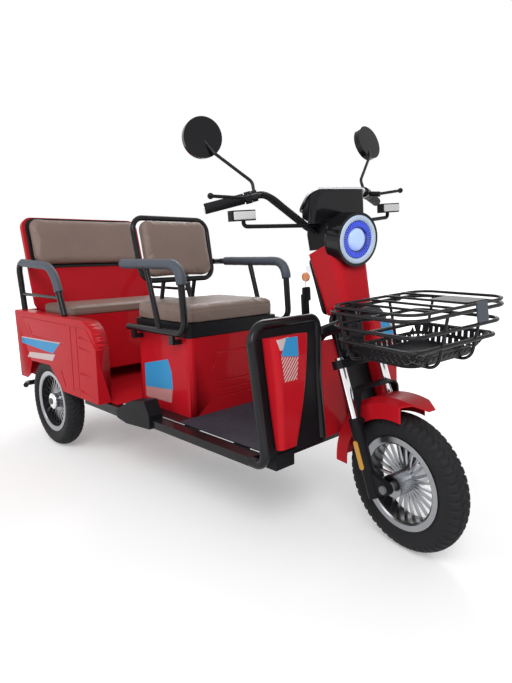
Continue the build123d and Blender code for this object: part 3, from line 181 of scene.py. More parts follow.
def remap(tree, value, source=(0.0, 1.0), target=(0.0, 1.0)):
    """A value moved from one range to another and held inside it."""
    node = tree.nodes.new("ShaderNodeMapRange")
    node.inputs["From Min"].default_value, node.inputs["From Max"].default_value = source
    node.inputs["To Min"].default_value, node.inputs["To Max"].default_value = target
    tree.links.new(value, node.inputs["Value"])
    return node.outputs["Result"]


def blend(tree, kind, factor, first, second):
    """A mix of two colours, vectors or numbers."""
    node = tree.nodes.new("ShaderNodeMix")
    node.data_type = kind
    feed(tree, node.inputs["Factor"], factor)
    feed(tree, node.inputs["A"], first)
    feed(tree, node.inputs["B"], second)
    return node.outputs["Result"]


def own_place(tree):
    """The coordinates in the piece's own space."""
    return tree.nodes.new("ShaderNodeTexCoord").outputs["Object"]


def split_axes(tree, vector):
    """A vector's three outputs, by axis name."""
    node = tree.nodes.new("ShaderNodeSeparateXYZ")
    tree.links.new(vector, node.inputs[0])
    return node.outputs


def object_noise(tree, scale, detail=3.0, roughness=0.5):
    """A noise texture in the piece's own space."""
    texture = tree.nodes.new("ShaderNodeTexNoise")
    texture.inputs["Detail"].default_value = detail
    texture.inputs["Roughness"].default_value = roughness
    feed(tree, texture.inputs["Scale"], scale)
    tree.links.new(own_place(tree), texture.inputs["Vector"])
    return texture.outputs


# ---------- shader groups ----------
DUST_COLOR = (0.42, 0.40, 0.37, 1.0)
RUBBED_METAL = (0.55, 0.55, 0.56, 1.0)
DUST_ROUGHENS = 0.22


def new_group(name, inputs, outputs):
    """Makes a shader node group with named sockets and returns it with its two ends."""
    group = bpy.data.node_groups.new(name, "ShaderNodeTree")
    for label, kind, default in inputs:
        socket = group.interface.new_socket(label, in_out="INPUT", socket_type=kind)
        socket.default_value = default
    for label, kind in outputs:
        group.interface.new_socket(label, in_out="OUTPUT", socket_type=kind)
    source = group.nodes.new("NodeGroupInput")
    sink = group.nodes.new("NodeGroupOutput")
    return group, source.outputs, sink.inputs


def make_surface_wear():
    """Dust and tone changes over a surface, and its rubbed edges."""
    group, given, result = new_group(
        "surface_wear",
        [
            ("Color", "NodeSocketColor", (0.5, 0.5, 0.5, 1.0)),
            ("Dust", "NodeSocketFloat", 0.1),
            ("Mottle", "NodeSocketFloat", 0.1),
            ("Roughness", "NodeSocketFloat", 0.4),
            ("Rub", "NodeSocketFloat", 0.1),
        ],
        [("Color", "NodeSocketColor"), ("Roughness", "NodeSocketFloat")],
    )
    broad = object_noise(group, 7.0, 4.0)["Fac"]
    fine = object_noise(group, 90.0, 5.0, 0.65)["Fac"]
    mottle = remap(group, broad, (0.3, 0.7), (-1.0, 1.0))
    amount = compute(group, "MULTIPLY_ADD", mottle, given["Mottle"], 1.0)
    scaling = group.nodes.new("ShaderNodeVectorMath")
    scaling.operation = "SCALE"
    group.links.new(given["Color"], scaling.inputs[0])
    group.links.new(amount, scaling.inputs["Scale"])
    surface = group.nodes.new("ShaderNodeNewGeometry").outputs
    settle = remap(group, split_axes(group, surface["Normal"])["Z"], (0.2, 1.0))
    speck = remap(group, fine, (0.42, 0.78))
    dust = compute(group, "MULTIPLY", compute(group, "MULTIPLY", settle, speck), given["Dust"])
    dusty = blend(group, "RGBA", dust, scaling.outputs[0], DUST_COLOR)
    edge = remap(group, surface["Pointiness"], (0.52, 0.60))
    rubbed = compute(group, "MULTIPLY", edge, given["Rub"])
    group.links.new(blend(group, "RGBA", rubbed, dusty, RUBBED_METAL), result["Color"])
    rough = compute(group, "MULTIPLY_ADD", dust, DUST_ROUGHENS, given["Roughness"])
    spread = remap(group, fine, target=(0.88, 1.12))
    group.links.new(compute(group, "MULTIPLY", rough, spread), result["Roughness"])
    return group


def make_grain():
    """The height of a fine moulded or cast grain."""
    group, given, result = new_group(
        "fine_grain",
        [("Scale", "NodeSocketFloat", 500.0), ("Coarse", "NodeSocketFloat", 0.3)],
        [("Height", "NodeSocketFloat")],
    )
    fine = object_noise(group, given["Scale"], 4.0, 0.6)["Fac"]
    broad = object_noise(group, 30.0, 2.0)["Fac"]
    group.links.new(blend(group, "FLOAT", given["Coarse"], fine, broad), result["Height"])
    return group


def make_hide():
    """The height and creases of a leather-like cover."""
    group, given, result = new_group(
        "hide_grain",
        [("Scale", "NodeSocketFloat", 420.0)],
        [("Height", "NodeSocketFloat"), ("Crease", "NodeSocketFloat")],
    )
    warp = object_noise(group, 60.0, 2.0)["Color"]
    cells = group.nodes.new("ShaderNodeTexVoronoi")
    cells.feature = "DISTANCE_TO_EDGE"
    group.links.new(blend(group, "VECTOR", 0.012, own_place(group), warp), cells.inputs["Vector"])
    group.links.new(given["Scale"], cells.inputs["Scale"])
    groove = remap(group, cells.outputs["Distance"], (0.0, 0.22))
    pores = object_noise(group, 900.0, 3.0)["Fac"]
    group.links.new(blend(group, "FLOAT", 0.25, groove, pores), result["Height"])
    group.links.new(groove, result["Crease"])
    return group


GROUP_MAKERS = {"surface_wear": make_surface_wear, "fine_grain": make_grain, "hide_grain": make_hide}
GROUPS = {}


def shader_group(name):
    """A shared group, made the first time that it is asked for."""
    if name not in GROUPS:
        GROUPS[name] = GROUP_MAKERS[name]()
    return GROUPS[name]


# ---------- materials ----------
BUMP_DISTANCE = 0.001
COAT_ROUGHNESS = 0.05
MATERIALS = {}


def finish(
    name, color, roughness, metallic=0.0, coat=0.0, dust=0.08, mottle=0.06, rub=0.0, grain=0.0,
    grain_scale=500.0, coarse=0.2, sheen=0.0, hide=0.0, hide_scale=420.0, ior=1.5,
):
    """A material with tone changes, dust and a fine surface, made once for each name."""
    if name in MATERIALS:
        return MATERIALS[name]
    material = bpy.data.materials.new(name)
    material.use_nodes = True
    material.diffuse_color = (*color, 1.0)
    tree = material.node_tree
    shader = tree.nodes["Principled BSDF"]
    shader.inputs["Metallic"].default_value = metallic
    shader.inputs["Coat Weight"].default_value = coat
    shader.inputs["Coat Roughness"].default_value = COAT_ROUGHNESS
    shader.inputs["IOR"].default_value = ior
    shader.inputs["Sheen Weight"].default_value = sheen
    wear = tree.nodes.new("ShaderNodeGroup")
    wear.node_tree = shader_group("surface_wear")
    wear.inputs["Color"].default_value = (*color, 1.0)
    wear.inputs["Dust"].default_value = dust
    wear.inputs["Mottle"].default_value = mottle
    wear.inputs["Roughness"].default_value = roughness
    wear.inputs["Rub"].default_value = rub
    tree.links.new(wear.outputs["Color"], shader.inputs["Base Color"])
    tree.links.new(wear.outputs["Roughness"], shader.inputs["Roughness"])
    if hide > 0.0 or grain > 0.0:
        surface = tree.nodes.new("ShaderNodeGroup")
        bump = tree.nodes.new("ShaderNodeBump")
        bump.inputs["Distance"].default_value = BUMP_DISTANCE
        if hide > 0.0:
            surface.node_tree = shader_group("hide_grain")
            surface.inputs["Scale"].default_value = hide_scale
        else:
            surface.node_tree = shader_group("fine_grain")
            surface.inputs["Scale"].default_value = grain_scale
            surface.inputs["Coarse"].default_value = coarse
        bump.inputs["Strength"].default_value = hide if hide > 0.0 else grain
        tree.links.new(surface.outputs["Height"], bump.inputs["Height"])
        tree.links.new(bump.outputs["Normal"], shader.inputs["Normal"])
    MATERIALS[name] = material
    return material


def red_paint(name="red_paint"):
    """Glossy red body paint under clear lacquer."""
    color = tuple(bpy.context.scene.tricycle_finish.body_paint)
    return finish(name, color, 0.30, coat=0.10, dust=0.01, mottle=0.05, grain=0.03, grain_scale=120.0,
                  coarse=0.6, ior=1.12)


def black_enamel():
    """Glossy black paint on steel tube."""
    return finish("black_enamel", (0.012, 0.012, 0.014), 0.24, coat=0.15, dust=0.01, mottle=0.2,
                  grain=0.05, ior=1.22)


def black_plastic():
    """Grained black moulding."""
    return finish("black_plastic", (0.010, 0.010, 0.012), 0.42, dust=0.02, mottle=0.15, grain=0.25,
                  grain_scale=900.0, ior=1.2)


def gloss_black():
    """Polished black moulding."""
    return finish("gloss_black", (0.008, 0.008, 0.010), 0.16, coat=0.2, dust=0.01, mottle=0.1, ior=1.2)


def brown_leather():
    """Synthetic leather of the cushions."""
    color = tuple(bpy.context.scene.tricycle_finish.leather)
    return finish("brown_leather", color, 0.42, dust=0.06, mottle=0.07, hide=0.22, hide_scale=430.0,
                  sheen=0.05)


def grey_foam():
    """Soft dark foam round the arm rails."""
    return finish("grey_foam", (0.050, 0.062, 0.085), 0.55, dust=0.10, mottle=0.10, grain=0.35,
                  grain_scale=1200.0)


def bright_chrome():
    """Polished chrome plate."""
    return finish("bright_chrome", (0.80, 0.80, 0.82), 0.08, metallic=1.0, dust=0.05, mottle=0.03)


def tyre_rubber():
    """Tyre compound with road dust."""
    return finish("tyre_rubber", (0.020, 0.020, 0.022), 0.58, dust=0.05, mottle=0.15, grain=0.3,
                  grain_scale=700.0, ior=1.2)


def wheel_alloy():
    """Machined bright alloy."""
    return finish("wheel_alloy", (0.66, 0.67, 0.69), 0.22, metallic=1.0, dust=0.08, mottle=0.05, grain=0.05)


def floor_rubber():
    """Dark mat of the rider's footwell."""
    return finish("floor_rubber", (0.040, 0.037, 0.052), 0.6, dust=0.05, mottle=0.12, grain=0.4,
                  grain_scale=420.0, ior=1.2)


def grey_steel():
    """Dark painted steel of the running gear."""
    return finish("grey_steel", (0.05, 0.05, 0.055), 0.45, dust=0.2, mottle=0.2, rub=0.2, grain=0.2)


def red_lens():
    """Deep red lamp plastic."""
    return finish("red_lens", (0.30, 0.004, 0.006), 0.14, coat=0.5, dust=0.0, mottle=0.05, grain=0.35,
                  grain_scale=240.0)


def silver_trim():
    """Bright plated plastic."""
    return finish("silver_trim", (0.62, 0.63, 0.66), 0.22, metallic=0.9, dust=0.02, mottle=0.04)


def amber():
    """Amber reflector plastic."""
    return finish("amber", (0.62, 0.30, 0.02), 0.25, coat=0.3, dust=0.02, mottle=0.05, grain=0.4,
                  grain_scale=260.0)


def strap_grey():
    """Dark blue-grey plastic of the basket's strap."""
    return finish("strap_grey", (0.035, 0.045, 0.065), 0.4, dust=0.02, mottle=0.08, grain=0.1)


def copper():
    """Tarnished copper."""
    return finish("copper", (0.55, 0.22, 0.10), 0.38, metallic=0.9, dust=0.02, mottle=0.15)


def white_lens():
    """Frosted white lamp plastic."""
    return finish("white_lens", (0.62, 0.62, 0.63), 0.25, coat=0.3, dust=0.02, mottle=0.05, grain=0.3,
                  grain_scale=300.0)


def glow(name, color, strength):
    """A lit lamp part under clear plastic."""
    material = finish(name, color, 0.15, coat=0.4, dust=0.0, mottle=0.02)
    shader = material.node_tree.nodes["Principled BSDF"]
    shader.inputs["Emission Color"].default_value = (*color, 1.0)
    shader.inputs["Emission Strength"].default_value = strength
    return material


BARREL_BLACK = (0.010, 0.010, 0.012, 1.0)
BARREL_RADIUS = 0.1168
BARREL_HALF = 0.0290


def wheel_finish(name, joint):
    """Bright alloy with a black barrel between the spokes' ends and the lip."""
    if name in MATERIALS:
        return MATERIALS[name]
    material = finish(name, (0.34, 0.35, 0.37), 0.24, metallic=1.0, dust=0.02, mottle=0.08, grain=0.05)
    tree = material.node_tree
    shader = tree.nodes["Principled BSDF"]
    axle = Vector(joint["axis"]).normalized()
    local = compute_vector(tree, "SUBTRACT", own_place(tree), joint["pos_m"])
    along = compute_vector(tree, "DOT_PRODUCT", local, axle, result="Value")
    around = compute_vector(tree, "CROSS_PRODUCT", local, axle)
    radius = compute_vector(tree, "LENGTH", around, result="Value")
    outside = compute(tree, "GREATER_THAN", radius, BARREL_RADIUS)
    inboard = compute(tree, "LESS_THAN", compute(tree, "ABSOLUTE", along), BARREL_HALF)
    barrel = compute(tree, "MULTIPLY", outside, inboard)
    base = shader.inputs["Base Color"]
    tree.links.new(blend(tree, "RGBA", barrel, base.links[0].from_socket, BARREL_BLACK), base)
    tree.links.new(compute(tree, "SUBTRACT", 1.0, barrel), shader.inputs["Metallic"])
    return material


# ---------- painted patches, and a painted highlight on the body sides ---
BLUE = (0.045, 0.30, 0.60)
# pale pink of the pale patches; on the body sides it also paints a highlight strip along a pressed line
PALE = (0.62, 0.50, 0.49)
PATCH_EDGE = 1.2


def patch_mask(tree, across, up, outline, stripe):
    """1 inside a convex outline in millimetres on two coordinates, with diagonal stripes if asked."""
    centre = np.mean(np.array(outline), axis=0)
    mask = None
    for (a, b), (c, d) in zip(outline, outline[1:] + outline[:1]):
        normal = Vector((-(d - b), c - a)).normalized()
        if normal.x * (centre[0] - a) + normal.y * (centre[1] - b) < 0:
            normal = -normal
        offset = -(normal.x * a + normal.y * b)
        depth = compute(tree, "MULTIPLY_ADD", across, normal.x, offset)
        depth = compute(tree, "MULTIPLY_ADD", up, normal.y, depth)
        inside = compute(tree, "MULTIPLY_ADD", depth, PATCH_EDGE, 0.5, clamp=True)
        mask = inside if mask is None else compute(tree, "MULTIPLY", mask, inside)
    if stripe:
        beat = compute(tree, "PINGPONG", compute(tree, "ADD", across, up), stripe)
        mask = compute(tree, "MULTIPLY", mask, compute(tree, "GREATER_THAN", beat, stripe / 2))
    return mask


def patched_paint(name, across_axis, patches, reach_axis, reach):
    """Red paint with plain patches, shown where the piece lies beyond a distance on one axis."""
    if name in MATERIALS:
        return MATERIALS[name]
    material = red_paint(name)
    tree = material.node_tree
    axes = split_axes(tree, own_place(tree))
    lengths = {
        axis: compute(tree, "MULTIPLY_ADD", axes[axis], 1.0 / MM, shift)
        for axis, shift in (("X", 0.0), ("Y", -FRONT_AXLE_Y / MM), ("Z", 0.0))
    }
    lengths["X"] = compute(tree, "ABSOLUTE", lengths["X"])
    side = "GREATER_THAN" if reach > 0 else "LESS_THAN"
    beyond = compute(tree, side, lengths[reach_axis], abs(reach))
    base = tree.nodes["Principled BSDF"].inputs["Base Color"]
    color = base.links[0].from_socket
    for outline, tint, stripe in patches:
        mask = patch_mask(tree, lengths[across_axis], lengths["Z"], outline, stripe)
        color = blend(tree, "RGBA", compute(tree, "MULTIPLY", mask, beyond), color, (*tint, 1.0))
    tree.links.new(color, base)
    return material


def side_paint():
    """The body sides' paint with their stripes, and a thin pale strip along the pressed line above the blue stripe
    that is a painted highlight.
    """
    return patched_paint("side_paint", "Y", [
        ([(1892, 486), (1466, 500), (1545, 448), (1894, 460)], BLUE, 0.0),
        ([(1805, 424), (1520, 446), (1552, 414), (1838, 396)], PALE, 0.0),
        # painted highlight: this thin pale strip stands for the light caught along the pressed line above the blue
        # stripe
        ([(1892, 491), (1466, 505), (1470, 500), (1892, 486)], PALE, 0.0),
    ], "X", 381.0)


def box_paint():
    """The seat box's paint with the patch on its sides."""
    return patched_paint("box_paint", "Y", [
        ([(1040, 452), (880, 488), (858, 440), (854, 374), (1040, 358)], BLUE, 0.0),
        ([(1040, 358), (856, 374), (866, 322), (1040, 318)], PALE, 7.0),
    ], "X", 226.0)


def wing_paint():
    """The wings' paint with the patch on their fronts."""
    return patched_paint("wing_paint", "X", [
        ([(300, 636), (252, 640), (240, 604), (292, 606)], PALE, 0.0),
        ([(262, 638), (214, 638), (218, 580), (290, 590)], BLUE, 0.0),
        ([(290, 588), (219, 578), (232, 516), (284, 516)], PALE, 6.0),
    ], "Y", -262.0)


SLOT_FINISH = {
    "black_steel": black_enamel,
    "floor_rubber": floor_rubber,
    "dark_aluminium": black_enamel,
    "black_plastic": black_plastic,
    "gloss_black": gloss_black,
    "red_paint": red_paint,
    "battery_case": black_plastic,
    "brown_leather": brown_leather,
    "grey_foam": grey_foam,
    "grey_steel": grey_steel,
    "lamp_red": red_lens,
    "lamp_white": black_plastic,
    "lamp_glass": bright_chrome,
    "bright_chrome": bright_chrome,
    "black_alloy": black_plastic,
    "grip_rubber": black_plastic,
    "black_wire": black_enamel,
    "tyre_rubber": tyre_rubber,
    "wheel_alloy": wheel_alloy,
}


def dress_frame_nodes():
    """Gives every carried-over node the finish of its slot, the rims and the wings their own."""
    for entry in frame["record"]["subparts"]:
        set_material(frame["nodes"][entry["node"]].data, SLOT_FINISH[entry["material_slot"]]())
    for node, joint in (
        ("front_rim", "front_wheel_spin"),
        ("rear_rim_right", "rear_wheel_right_spin"),
        ("rear_rim_left", "rear_wheel_left_spin"),
    ):
        set_material(frame["nodes"][node].data, wheel_finish(f"alloy_{node}", JOINTS[joint]))
    set_material(frame["nodes"]["shield_wings"].data, wing_paint())


# ---------- mesh helpers ----------
def set_material(mesh, material):
    """Makes one material the mesh's only one."""
    mesh.materials.clear()
    mesh.materials.append(material)


def add_piece(name, mesh, body, material):
    """Links a mesh as a piece that rides on a body."""
    piece = bpy.data.objects.new(name, mesh)
    bpy.context.scene.collection.objects.link(piece)
    set_material(mesh, material)
    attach(piece, body)
    return piece


def steer_piece(name, mesh, material):
    """A piece built with the bars straight ahead, turned to the parked angle."""
    mesh.transform(parked_matrix())
    return add_piece(name, mesh, "steer", material)


def node_mesh(node):
    """A copy of a frame node's mesh, without its material."""
    mesh = frame["nodes"][node].data.copy()
    mesh.materials.clear()
    return mesh


def bake_modifiers(piece):
    """Turns a piece's modifiers into plain mesh, in the same material."""
    material = piece.data.materials[0]
    graph = bpy.context.evaluated_depsgraph_get()
    graph.update()
    mesh = bpy.data.meshes.new_from_object(piece.evaluated_get(graph))
    old = piece.data
    piece.modifiers.clear()
    piece.data = mesh
    bpy.data.meshes.remove(old)
    set_material(mesh, material)


def even_cover(piece, voxel):
    """Remeshes a piece into small faces of one size."""
    remesh = piece.modifiers.new("even_cover", "REMESH")
    remesh.mode = "VOXEL"
    remesh.voxel_size = voxel
    bake_modifiers(piece)


def points_of(mesh):
    """The mesh's points as an array."""
    points = np.empty(len(mesh.vertices) * 3)
    mesh.vertices.foreach_get("co", points)
    return points.reshape(-1, 3)


def normals_of(mesh):
    """The mesh's point normals as an array."""
    normals = np.empty(len(mesh.vertices) * 3)
    mesh.vertex_normals.foreach_get("vector", normals)
    return normals.reshape(-1, 3)


def set_points(mesh, points):
    """Moves the mesh's points."""
    mesh.vertices.foreach_set("co", np.ascontiguousarray(points).ravel())
    mesh.update()


def smooth(mesh):
    """Shades the whole mesh smooth and returns it."""
    mesh.polygons.foreach_set("use_smooth", [True] * len(mesh.polygons))
    return mesh


def mesh_of(name, verts, faces):
    """A smooth mesh out of points and faces."""
    mesh = bpy.data.meshes.new(name)
    mesh.from_pydata(verts, [], faces)
    mesh.update()
    return smooth(mesh)


def taken_from(work, name):
    """The mesh of an edit mesh, which is freed."""
    mesh = bpy.data.meshes.new(name)
    work.to_mesh(mesh)
    work.free()
    return mesh


def join_meshes(meshes, name):
    """One mesh out of several."""
    work = bmesh.new()
    for mesh in meshes:
        work.from_mesh(mesh)
        bpy.data.meshes.remove(mesh)
    return taken_from(work, name)


def round_the(axis):
    """The rotation that takes X to an axis."""
    return Vector(axis).normalized().to_track_quat("X", "Z").to_matrix()


def angles_of(steps):
    """The angles of evenly spaced steps round a circle."""
    return [2 * math.pi * index / steps for index in range(steps)]


def prism(outline, origin, along, across, thickness, bevel, segments=2):
    """A plate with rounded edges: an outline in millimetres on two directions, thickened both ways."""
    along, across = Vector(along).normalized(), Vector(across).normalized()
    out = along.cross(across).normalized()
    work = bmesh.new()
    low, high = (
        [work.verts.new(origin + (along * a + across * b + out * lift) * MM) for a, b in outline]
        for lift in (-thickness / 2, thickness / 2)
    )
    work.faces.new(list(reversed(low)))
    work.faces.new(high)
    count = len(outline)
    for index in range(count):
        after = (index + 1) % count
        work.faces.new([low[index], low[after], high[after], high[index]])
    bmesh.ops.bevel(
        work, geom=list(work.edges), offset=bevel * MM, segments=segments, affect="EDGES", profile=0.6
    )
    bmesh.ops.recalc_face_normals(work, faces=work.faces)
    return taken_from(work, "plate")


def rounded_box(low, high, radius, segments=3):
    """A block between two millimetre corners with rounded edges."""
    work = bmesh.new()
    bmesh.ops.create_cube(work, size=1.0)
    for vert in work.verts:
        for axis in range(3):
            vert.co[axis] = low[axis] if vert.co[axis] < 0 else high[axis]
    bmesh.ops.bevel(
        work, geom=list(work.edges), offset=radius, segments=segments, affect="EDGES", profile=0.5
    )
    for vert in work.verts:
        vert.co = place(*vert.co)
    return taken_from(work, "block")


def rounded_outline(half_width, half_height, radius, steps=6):
    """A rounded rectangle's outline."""
    outline = []
    for cx, cy, start in ((1, 1, 0), (-1, 1, 90), (-1, -1, 180), (1, -1, 270)):
        for step in range(steps + 1):
            angle = math.radians(start + 90.0 * step / steps)
            outline.append((cx * (half_width - radius) + radius * math.cos(angle),
                            cy * (half_height - radius) + radius * math.sin(angle)))
    return outline


def lathe(profile, centre, axis, steps, closed=False):
    """A turned form: (along, radius) pairs in millimetres about an axis through a point."""
    turn = round_the(axis)
    work = bmesh.new()
    rings = [
        [
            work.verts.new(centre + turn @ (Vector((along, radius * math.cos(t), radius * math.sin(t))) * MM))
            for t in angles_of(steps)
        ]
        for along, radius in profile
    ]
    pairs = list(zip(rings, rings[1:]))
    if closed:
        pairs.append((rings[-1], rings[0]))
    for near, far in pairs:
        for index in range(steps):
            after = (index + 1) % steps
            work.faces.new([near[index], near[after], far[after], far[index]])
    if not closed:
        work.faces.new(rings[0])
        work.faces.new(rings[-1])
    bmesh.ops.remove_doubles(work, verts=work.verts, dist=SAME_POINT)
    bmesh.ops.recalc_face_normals(work, faces=work.faces)
    return smooth(taken_from(work, "turned"))


def skin_rings(name, verts, steps):
    """A closed mesh over rings of points that follow one another."""
    last = len(verts) - steps
    faces = []
    for ring in range(0, last, steps):
        for index in range(steps):
            after = (index + 1) % steps
            faces.append((ring + index, ring + after, ring + steps + after, ring + steps + index))
    faces.append(tuple(reversed(range(steps))))
    faces.append(tuple(range(last, last + steps)))
    return mesh_of(name, verts, faces)


def tube(name, points, radius, material, cyclic=False):
    """A round wire of the steered body, along a smooth line through points in metres."""
    curve = bpy.data.curves.new(name, "CURVE")
    curve.dimensions = "3D"
    curve.bevel_depth = radius * MM
    curve.bevel_resolution = 4
    curve.use_fill_caps = True
    spline = curve.splines.new("NURBS")
    spline.points.add(len(points) - 1)
    for point, where in zip(spline.points, points):
        point.co = (*(parked_matrix() @ where), 1.0)
    spline.order_u = 3
    spline.use_endpoint_u = True
    spline.use_cyclic_u = cyclic
    spline.resolution_u = 10
    maker = bpy.data.objects.new(name + "_line", curve)
    mesh = bpy.data.meshes.new_from_object(maker)
    bpy.data.objects.remove(maker)
    bpy.data.curves.remove(curve)
    return add_piece(name, smooth(mesh), "steer", material)


# ---------- cushions ----------
CLOTH_FRAMES = 20
CLOTH_PRESSURE = 4.0
BACK_LEAN = math.radians(12.0)
REAR_LEAN = math.radians(15.0)
SEAT_SEAM_Z = 674.0
BENCH_SEAM_Z = 634.0
DOWN = (0, 0, -1)


def stuff(piece, cap):
    """Puffs a closed cover with air, letting no point move further than the cap."""
    scene = bpy.context.scene
    start = points_of(piece.data)
    cloth = piece.modifiers.new("stuffing", "CLOTH")
    cloth.settings.quality = 4
    cloth.settings.use_pressure = True
    cloth.settings.uniform_pressure_force = CLOTH_PRESSURE
    cloth.settings.effector_weights.gravity = 0.0
    cloth.collision_settings.use_collision = False
    cloth.collision_settings.use_self_collision = False
    for step in range(1, CLOTH_FRAMES + 1):
        scene.frame_set(step)
    graph = bpy.context.evaluated_depsgraph_get()
    puffed = points_of(piece.evaluated_get(graph).data)
    piece.modifiers.remove(cloth)
    scene.frame_set(1)
    move = puffed - start
    length = np.maximum(np.linalg.norm(move, axis=1, keepdims=True), 1e-9)
    set_points(piece.data, start + move * (cap * np.tanh(length / cap) / length))


def cushion(name, node, body, rest, voxel, shrink, cap, room, seam):
    """A padded piece grown from its solid. Rest is the way that its flat side faces, lengths are in
    metres, and the seam is a point of its plane, its depth and its width."""
    solid = points_of(frame["nodes"][node].data)
    rest = np.array(Vector(rest).normalized())
    piece = add_piece(name, node_mesh(node), body, brown_leather())
    even_cover(piece, voxel)
    set_points(piece.data, points_of(piece.data) - normals_of(piece.data) * shrink)
    stuff(piece, cap)
    finer = piece.modifiers.new("finer", "SUBSURF")
    finer.levels = 1
    bake_modifiers(piece)
    points = points_of(piece.data)
    facing = normals_of(piece.data)
    origin, depth, width = seam
    distance = (points - np.array(origin)) @ rest
    front = np.clip(-(facing @ rest) * 2.0 + 1.0, 0.0, 1.0)
    points = points - facing * (depth * front * np.exp(-((distance / width) ** 2)))[:, None]
    over = points @ rest - (solid @ rest).max()
    points = points - np.outer(np.maximum(over, 0.0), rest)
    low, high = solid.min(axis=0) - room, solid.max(axis=0) + room
    set_points(piece.data, np.clip(points, low, high))
    smooth(piece.data)
    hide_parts(node)


def build_cushions():
    """The rider's seat and backrest, and the passengers' bench and backrest."""
    cushion(
        "rider_seat_cover", "rider_cushion", "front_seat", DOWN,
        voxel=0.006, shrink=0.0015, cap=0.009, room=0.006, seam=(place(0, 0, SEAT_SEAM_Z), 0.0016, 0.0025),
    )
    away = Vector((0.0, math.cos(BACK_LEAN), -math.sin(BACK_LEAN)))
    cushion(
        "rider_backrest_cover", "backrest_cushion", "chassis", away,
        voxel=0.005, shrink=0.0005, cap=0.006, room=0.004,
        seam=(box_middle("backrest_cushion") + away * 0.002, 0.0025, 0.003),
    )
    cushion(
        "bench_cover", "bench_cushion", "chassis", DOWN,
        voxel=0.006, shrink=0.0015, cap=0.008, room=0.006, seam=(place(0, 0, BENCH_SEAM_Z), 0.0015, 0.0025),
    )
    away = Vector((0.0, math.cos(REAR_LEAN), -math.sin(REAR_LEAN)))
    cushion(
        "rear_backrest_cover", "rear_cushion", "chassis", away,
        voxel=0.006, shrink=0.0010, cap=0.007, room=0.005, seam=(box_middle("rear_cushion"), 0.0025, 0.003),
    )


FOAM_VOXEL = 0.0045
FOAM_SETTLED = 0.0006
FOAM_CRUSH = 0.0010
CRUSHES_PER_METRE = 26.0


def build_arm_pads():
    """Foam sleeves of the arm rails, slightly crushed in places by noise."""
    piece = add_piece("arm_sleeves", node_mesh("arm_pads"), "chassis", grey_foam())
    even_cover(piece, FOAM_VOXEL)
    ease = piece.modifiers.new("ease", "SMOOTH")
    ease.iterations = 3
    finer = piece.modifiers.new("finer", "SUBSURF")
    finer.levels = 1
    bake_modifiers(piece)
    points = points_of(piece.data)
    crush = np.array([noise.noise(Vector(point) * CRUSHES_PER_METRE) for point in points])
    inward = FOAM_SETTLED + FOAM_CRUSH * (crush + 0.5)
    set_points(piece.data, points - normals_of(piece.data) * inward[:, None])
    smooth(piece.data)
    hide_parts("arm_pads")


# ---------- tyres ----------
TYRE_RADIUS = Vector(JOINTS["rear_wheel_left_spin"]["pos_m"]).z
TYRE_BEAD = (28.0, 141.0)
TYRE_INNER = 129.8
TYRE_HALF = 40.0
SHOULDER_HALF = 34.0
SHOULDER_RADIUS = 194.0
SHOULDER_DROP = 15.0
TYRE_STEPS = 624
TREAD_PITCHES = 52
TREAD_SWEEP = 1.9
TREAD_END = 1.12
GROOVE_HALF = 0.20
GROOVE_DEPTH = 4.2
RING_AT = 0.42
RING_HALF = 0.055
RING_DEPTH = 3.4
CENTRE_HALF = 2.4
CENTRE_DEPTH = 3.0
WALL_RING_HALF = 2.2
FLANGE_RING = 149.0
WALL_RINGS = ((FLANGE_RING, 0.9), (FLANGE_RING + 8.0, 0.5), (SHOULDER_RADIUS - 9.0, 0.7))
TYRES = (
    ("front_tyre_tread", "front_tyre", "front_wheel"),
    ("rear_right_tyre_tread", "rear_tyre_right", "rear_wheel_right"),
    ("rear_left_tyre_tread", "rear_tyre_left", "rear_wheel_left"),
)


def arc_through(a, b, c, count):
    """Points on the circle arc from a through b to c."""
    ax, ay = a
    bx, by = b
    cx, cy = c
    d = 2 * (ax * (by - cy) + bx * (cy - ay) + cx * (ay - by))
    a2, b2, c2 = ax * ax + ay * ay, bx * bx + by * by, cx * cx + cy * cy
    ux = (a2 * (by - cy) + b2 * (cy - ay) + c2 * (ay - by)) / d
    uy = (a2 * (cx - bx) + b2 * (ax - cx) + c2 * (bx - ax)) / d
    radius = math.hypot(ax - ux, ay - uy)
    turns = [math.atan2(y - uy, x - ux) for x, y in (a, b, c)]
    for index in (1, 2):
        while turns[index] - turns[index - 1] > math.pi:
            turns[index] -= 2 * math.pi
        while turns[index] - turns[index - 1] < -math.pi:
            turns[index] += 2 * math.pi
    angles = np.linspace(turns[0], turns[2], count)
    return [(ux + radius * math.cos(t), uy + radius * math.sin(t)) for t in angles]


def tyre_profile():
    """The tyre's section from bead to bead, as (across, radius) in millimetres."""
    bead_half, flange = TYRE_BEAD
    top = TYRE_RADIUS / MM
    shoulder = top - SHOULDER_DROP
    widest = (flange + shoulder) / 2
    wall = arc_through((bead_half, flange), (TYRE_HALF, widest), (SHOULDER_HALF, shoulder), 14)
    crown = arc_through((SHOULDER_HALF, shoulder), (0.0, top), (-SHOULDER_HALF, shoulder), 37)
    other = [(-x, r) for x, r in reversed(wall)]
    return wall[:-1] + crown + other[1:]


def tread_depth(x, angle):
    """How deep the tread is cut at a place across and round the tyre."""
    edge = abs(x) / SHOULDER_HALF
    if edge > TREAD_END:
        return 0.0
    sweep = 0.9 * edge + 0.35 * math.sin(edge * math.pi)
    offset = 0.5 if x > 0 else 0.0
    beat = (TREAD_PITCHES * angle / (2 * math.pi) - sweep * TREAD_SWEEP + offset) % 1.0
    groove = max(0.0, 1.0 - abs(beat - 0.5) / GROOVE_HALF)
    slanted = min(1.0, groove * 1.8) * GROOVE_DEPTH * min(1.0, max(0.0, (edge - 0.12) * 9.0))
    ring = max(0.0, 1.0 - abs(edge - RING_AT) / RING_HALF)
    centre = max(0.0, 1.0 - abs(x) / CENTRE_HALF)
    return max(slanted, RING_DEPTH * min(1.0, ring * 1.6), CENTRE_DEPTH * min(1.0, centre * 1.6))


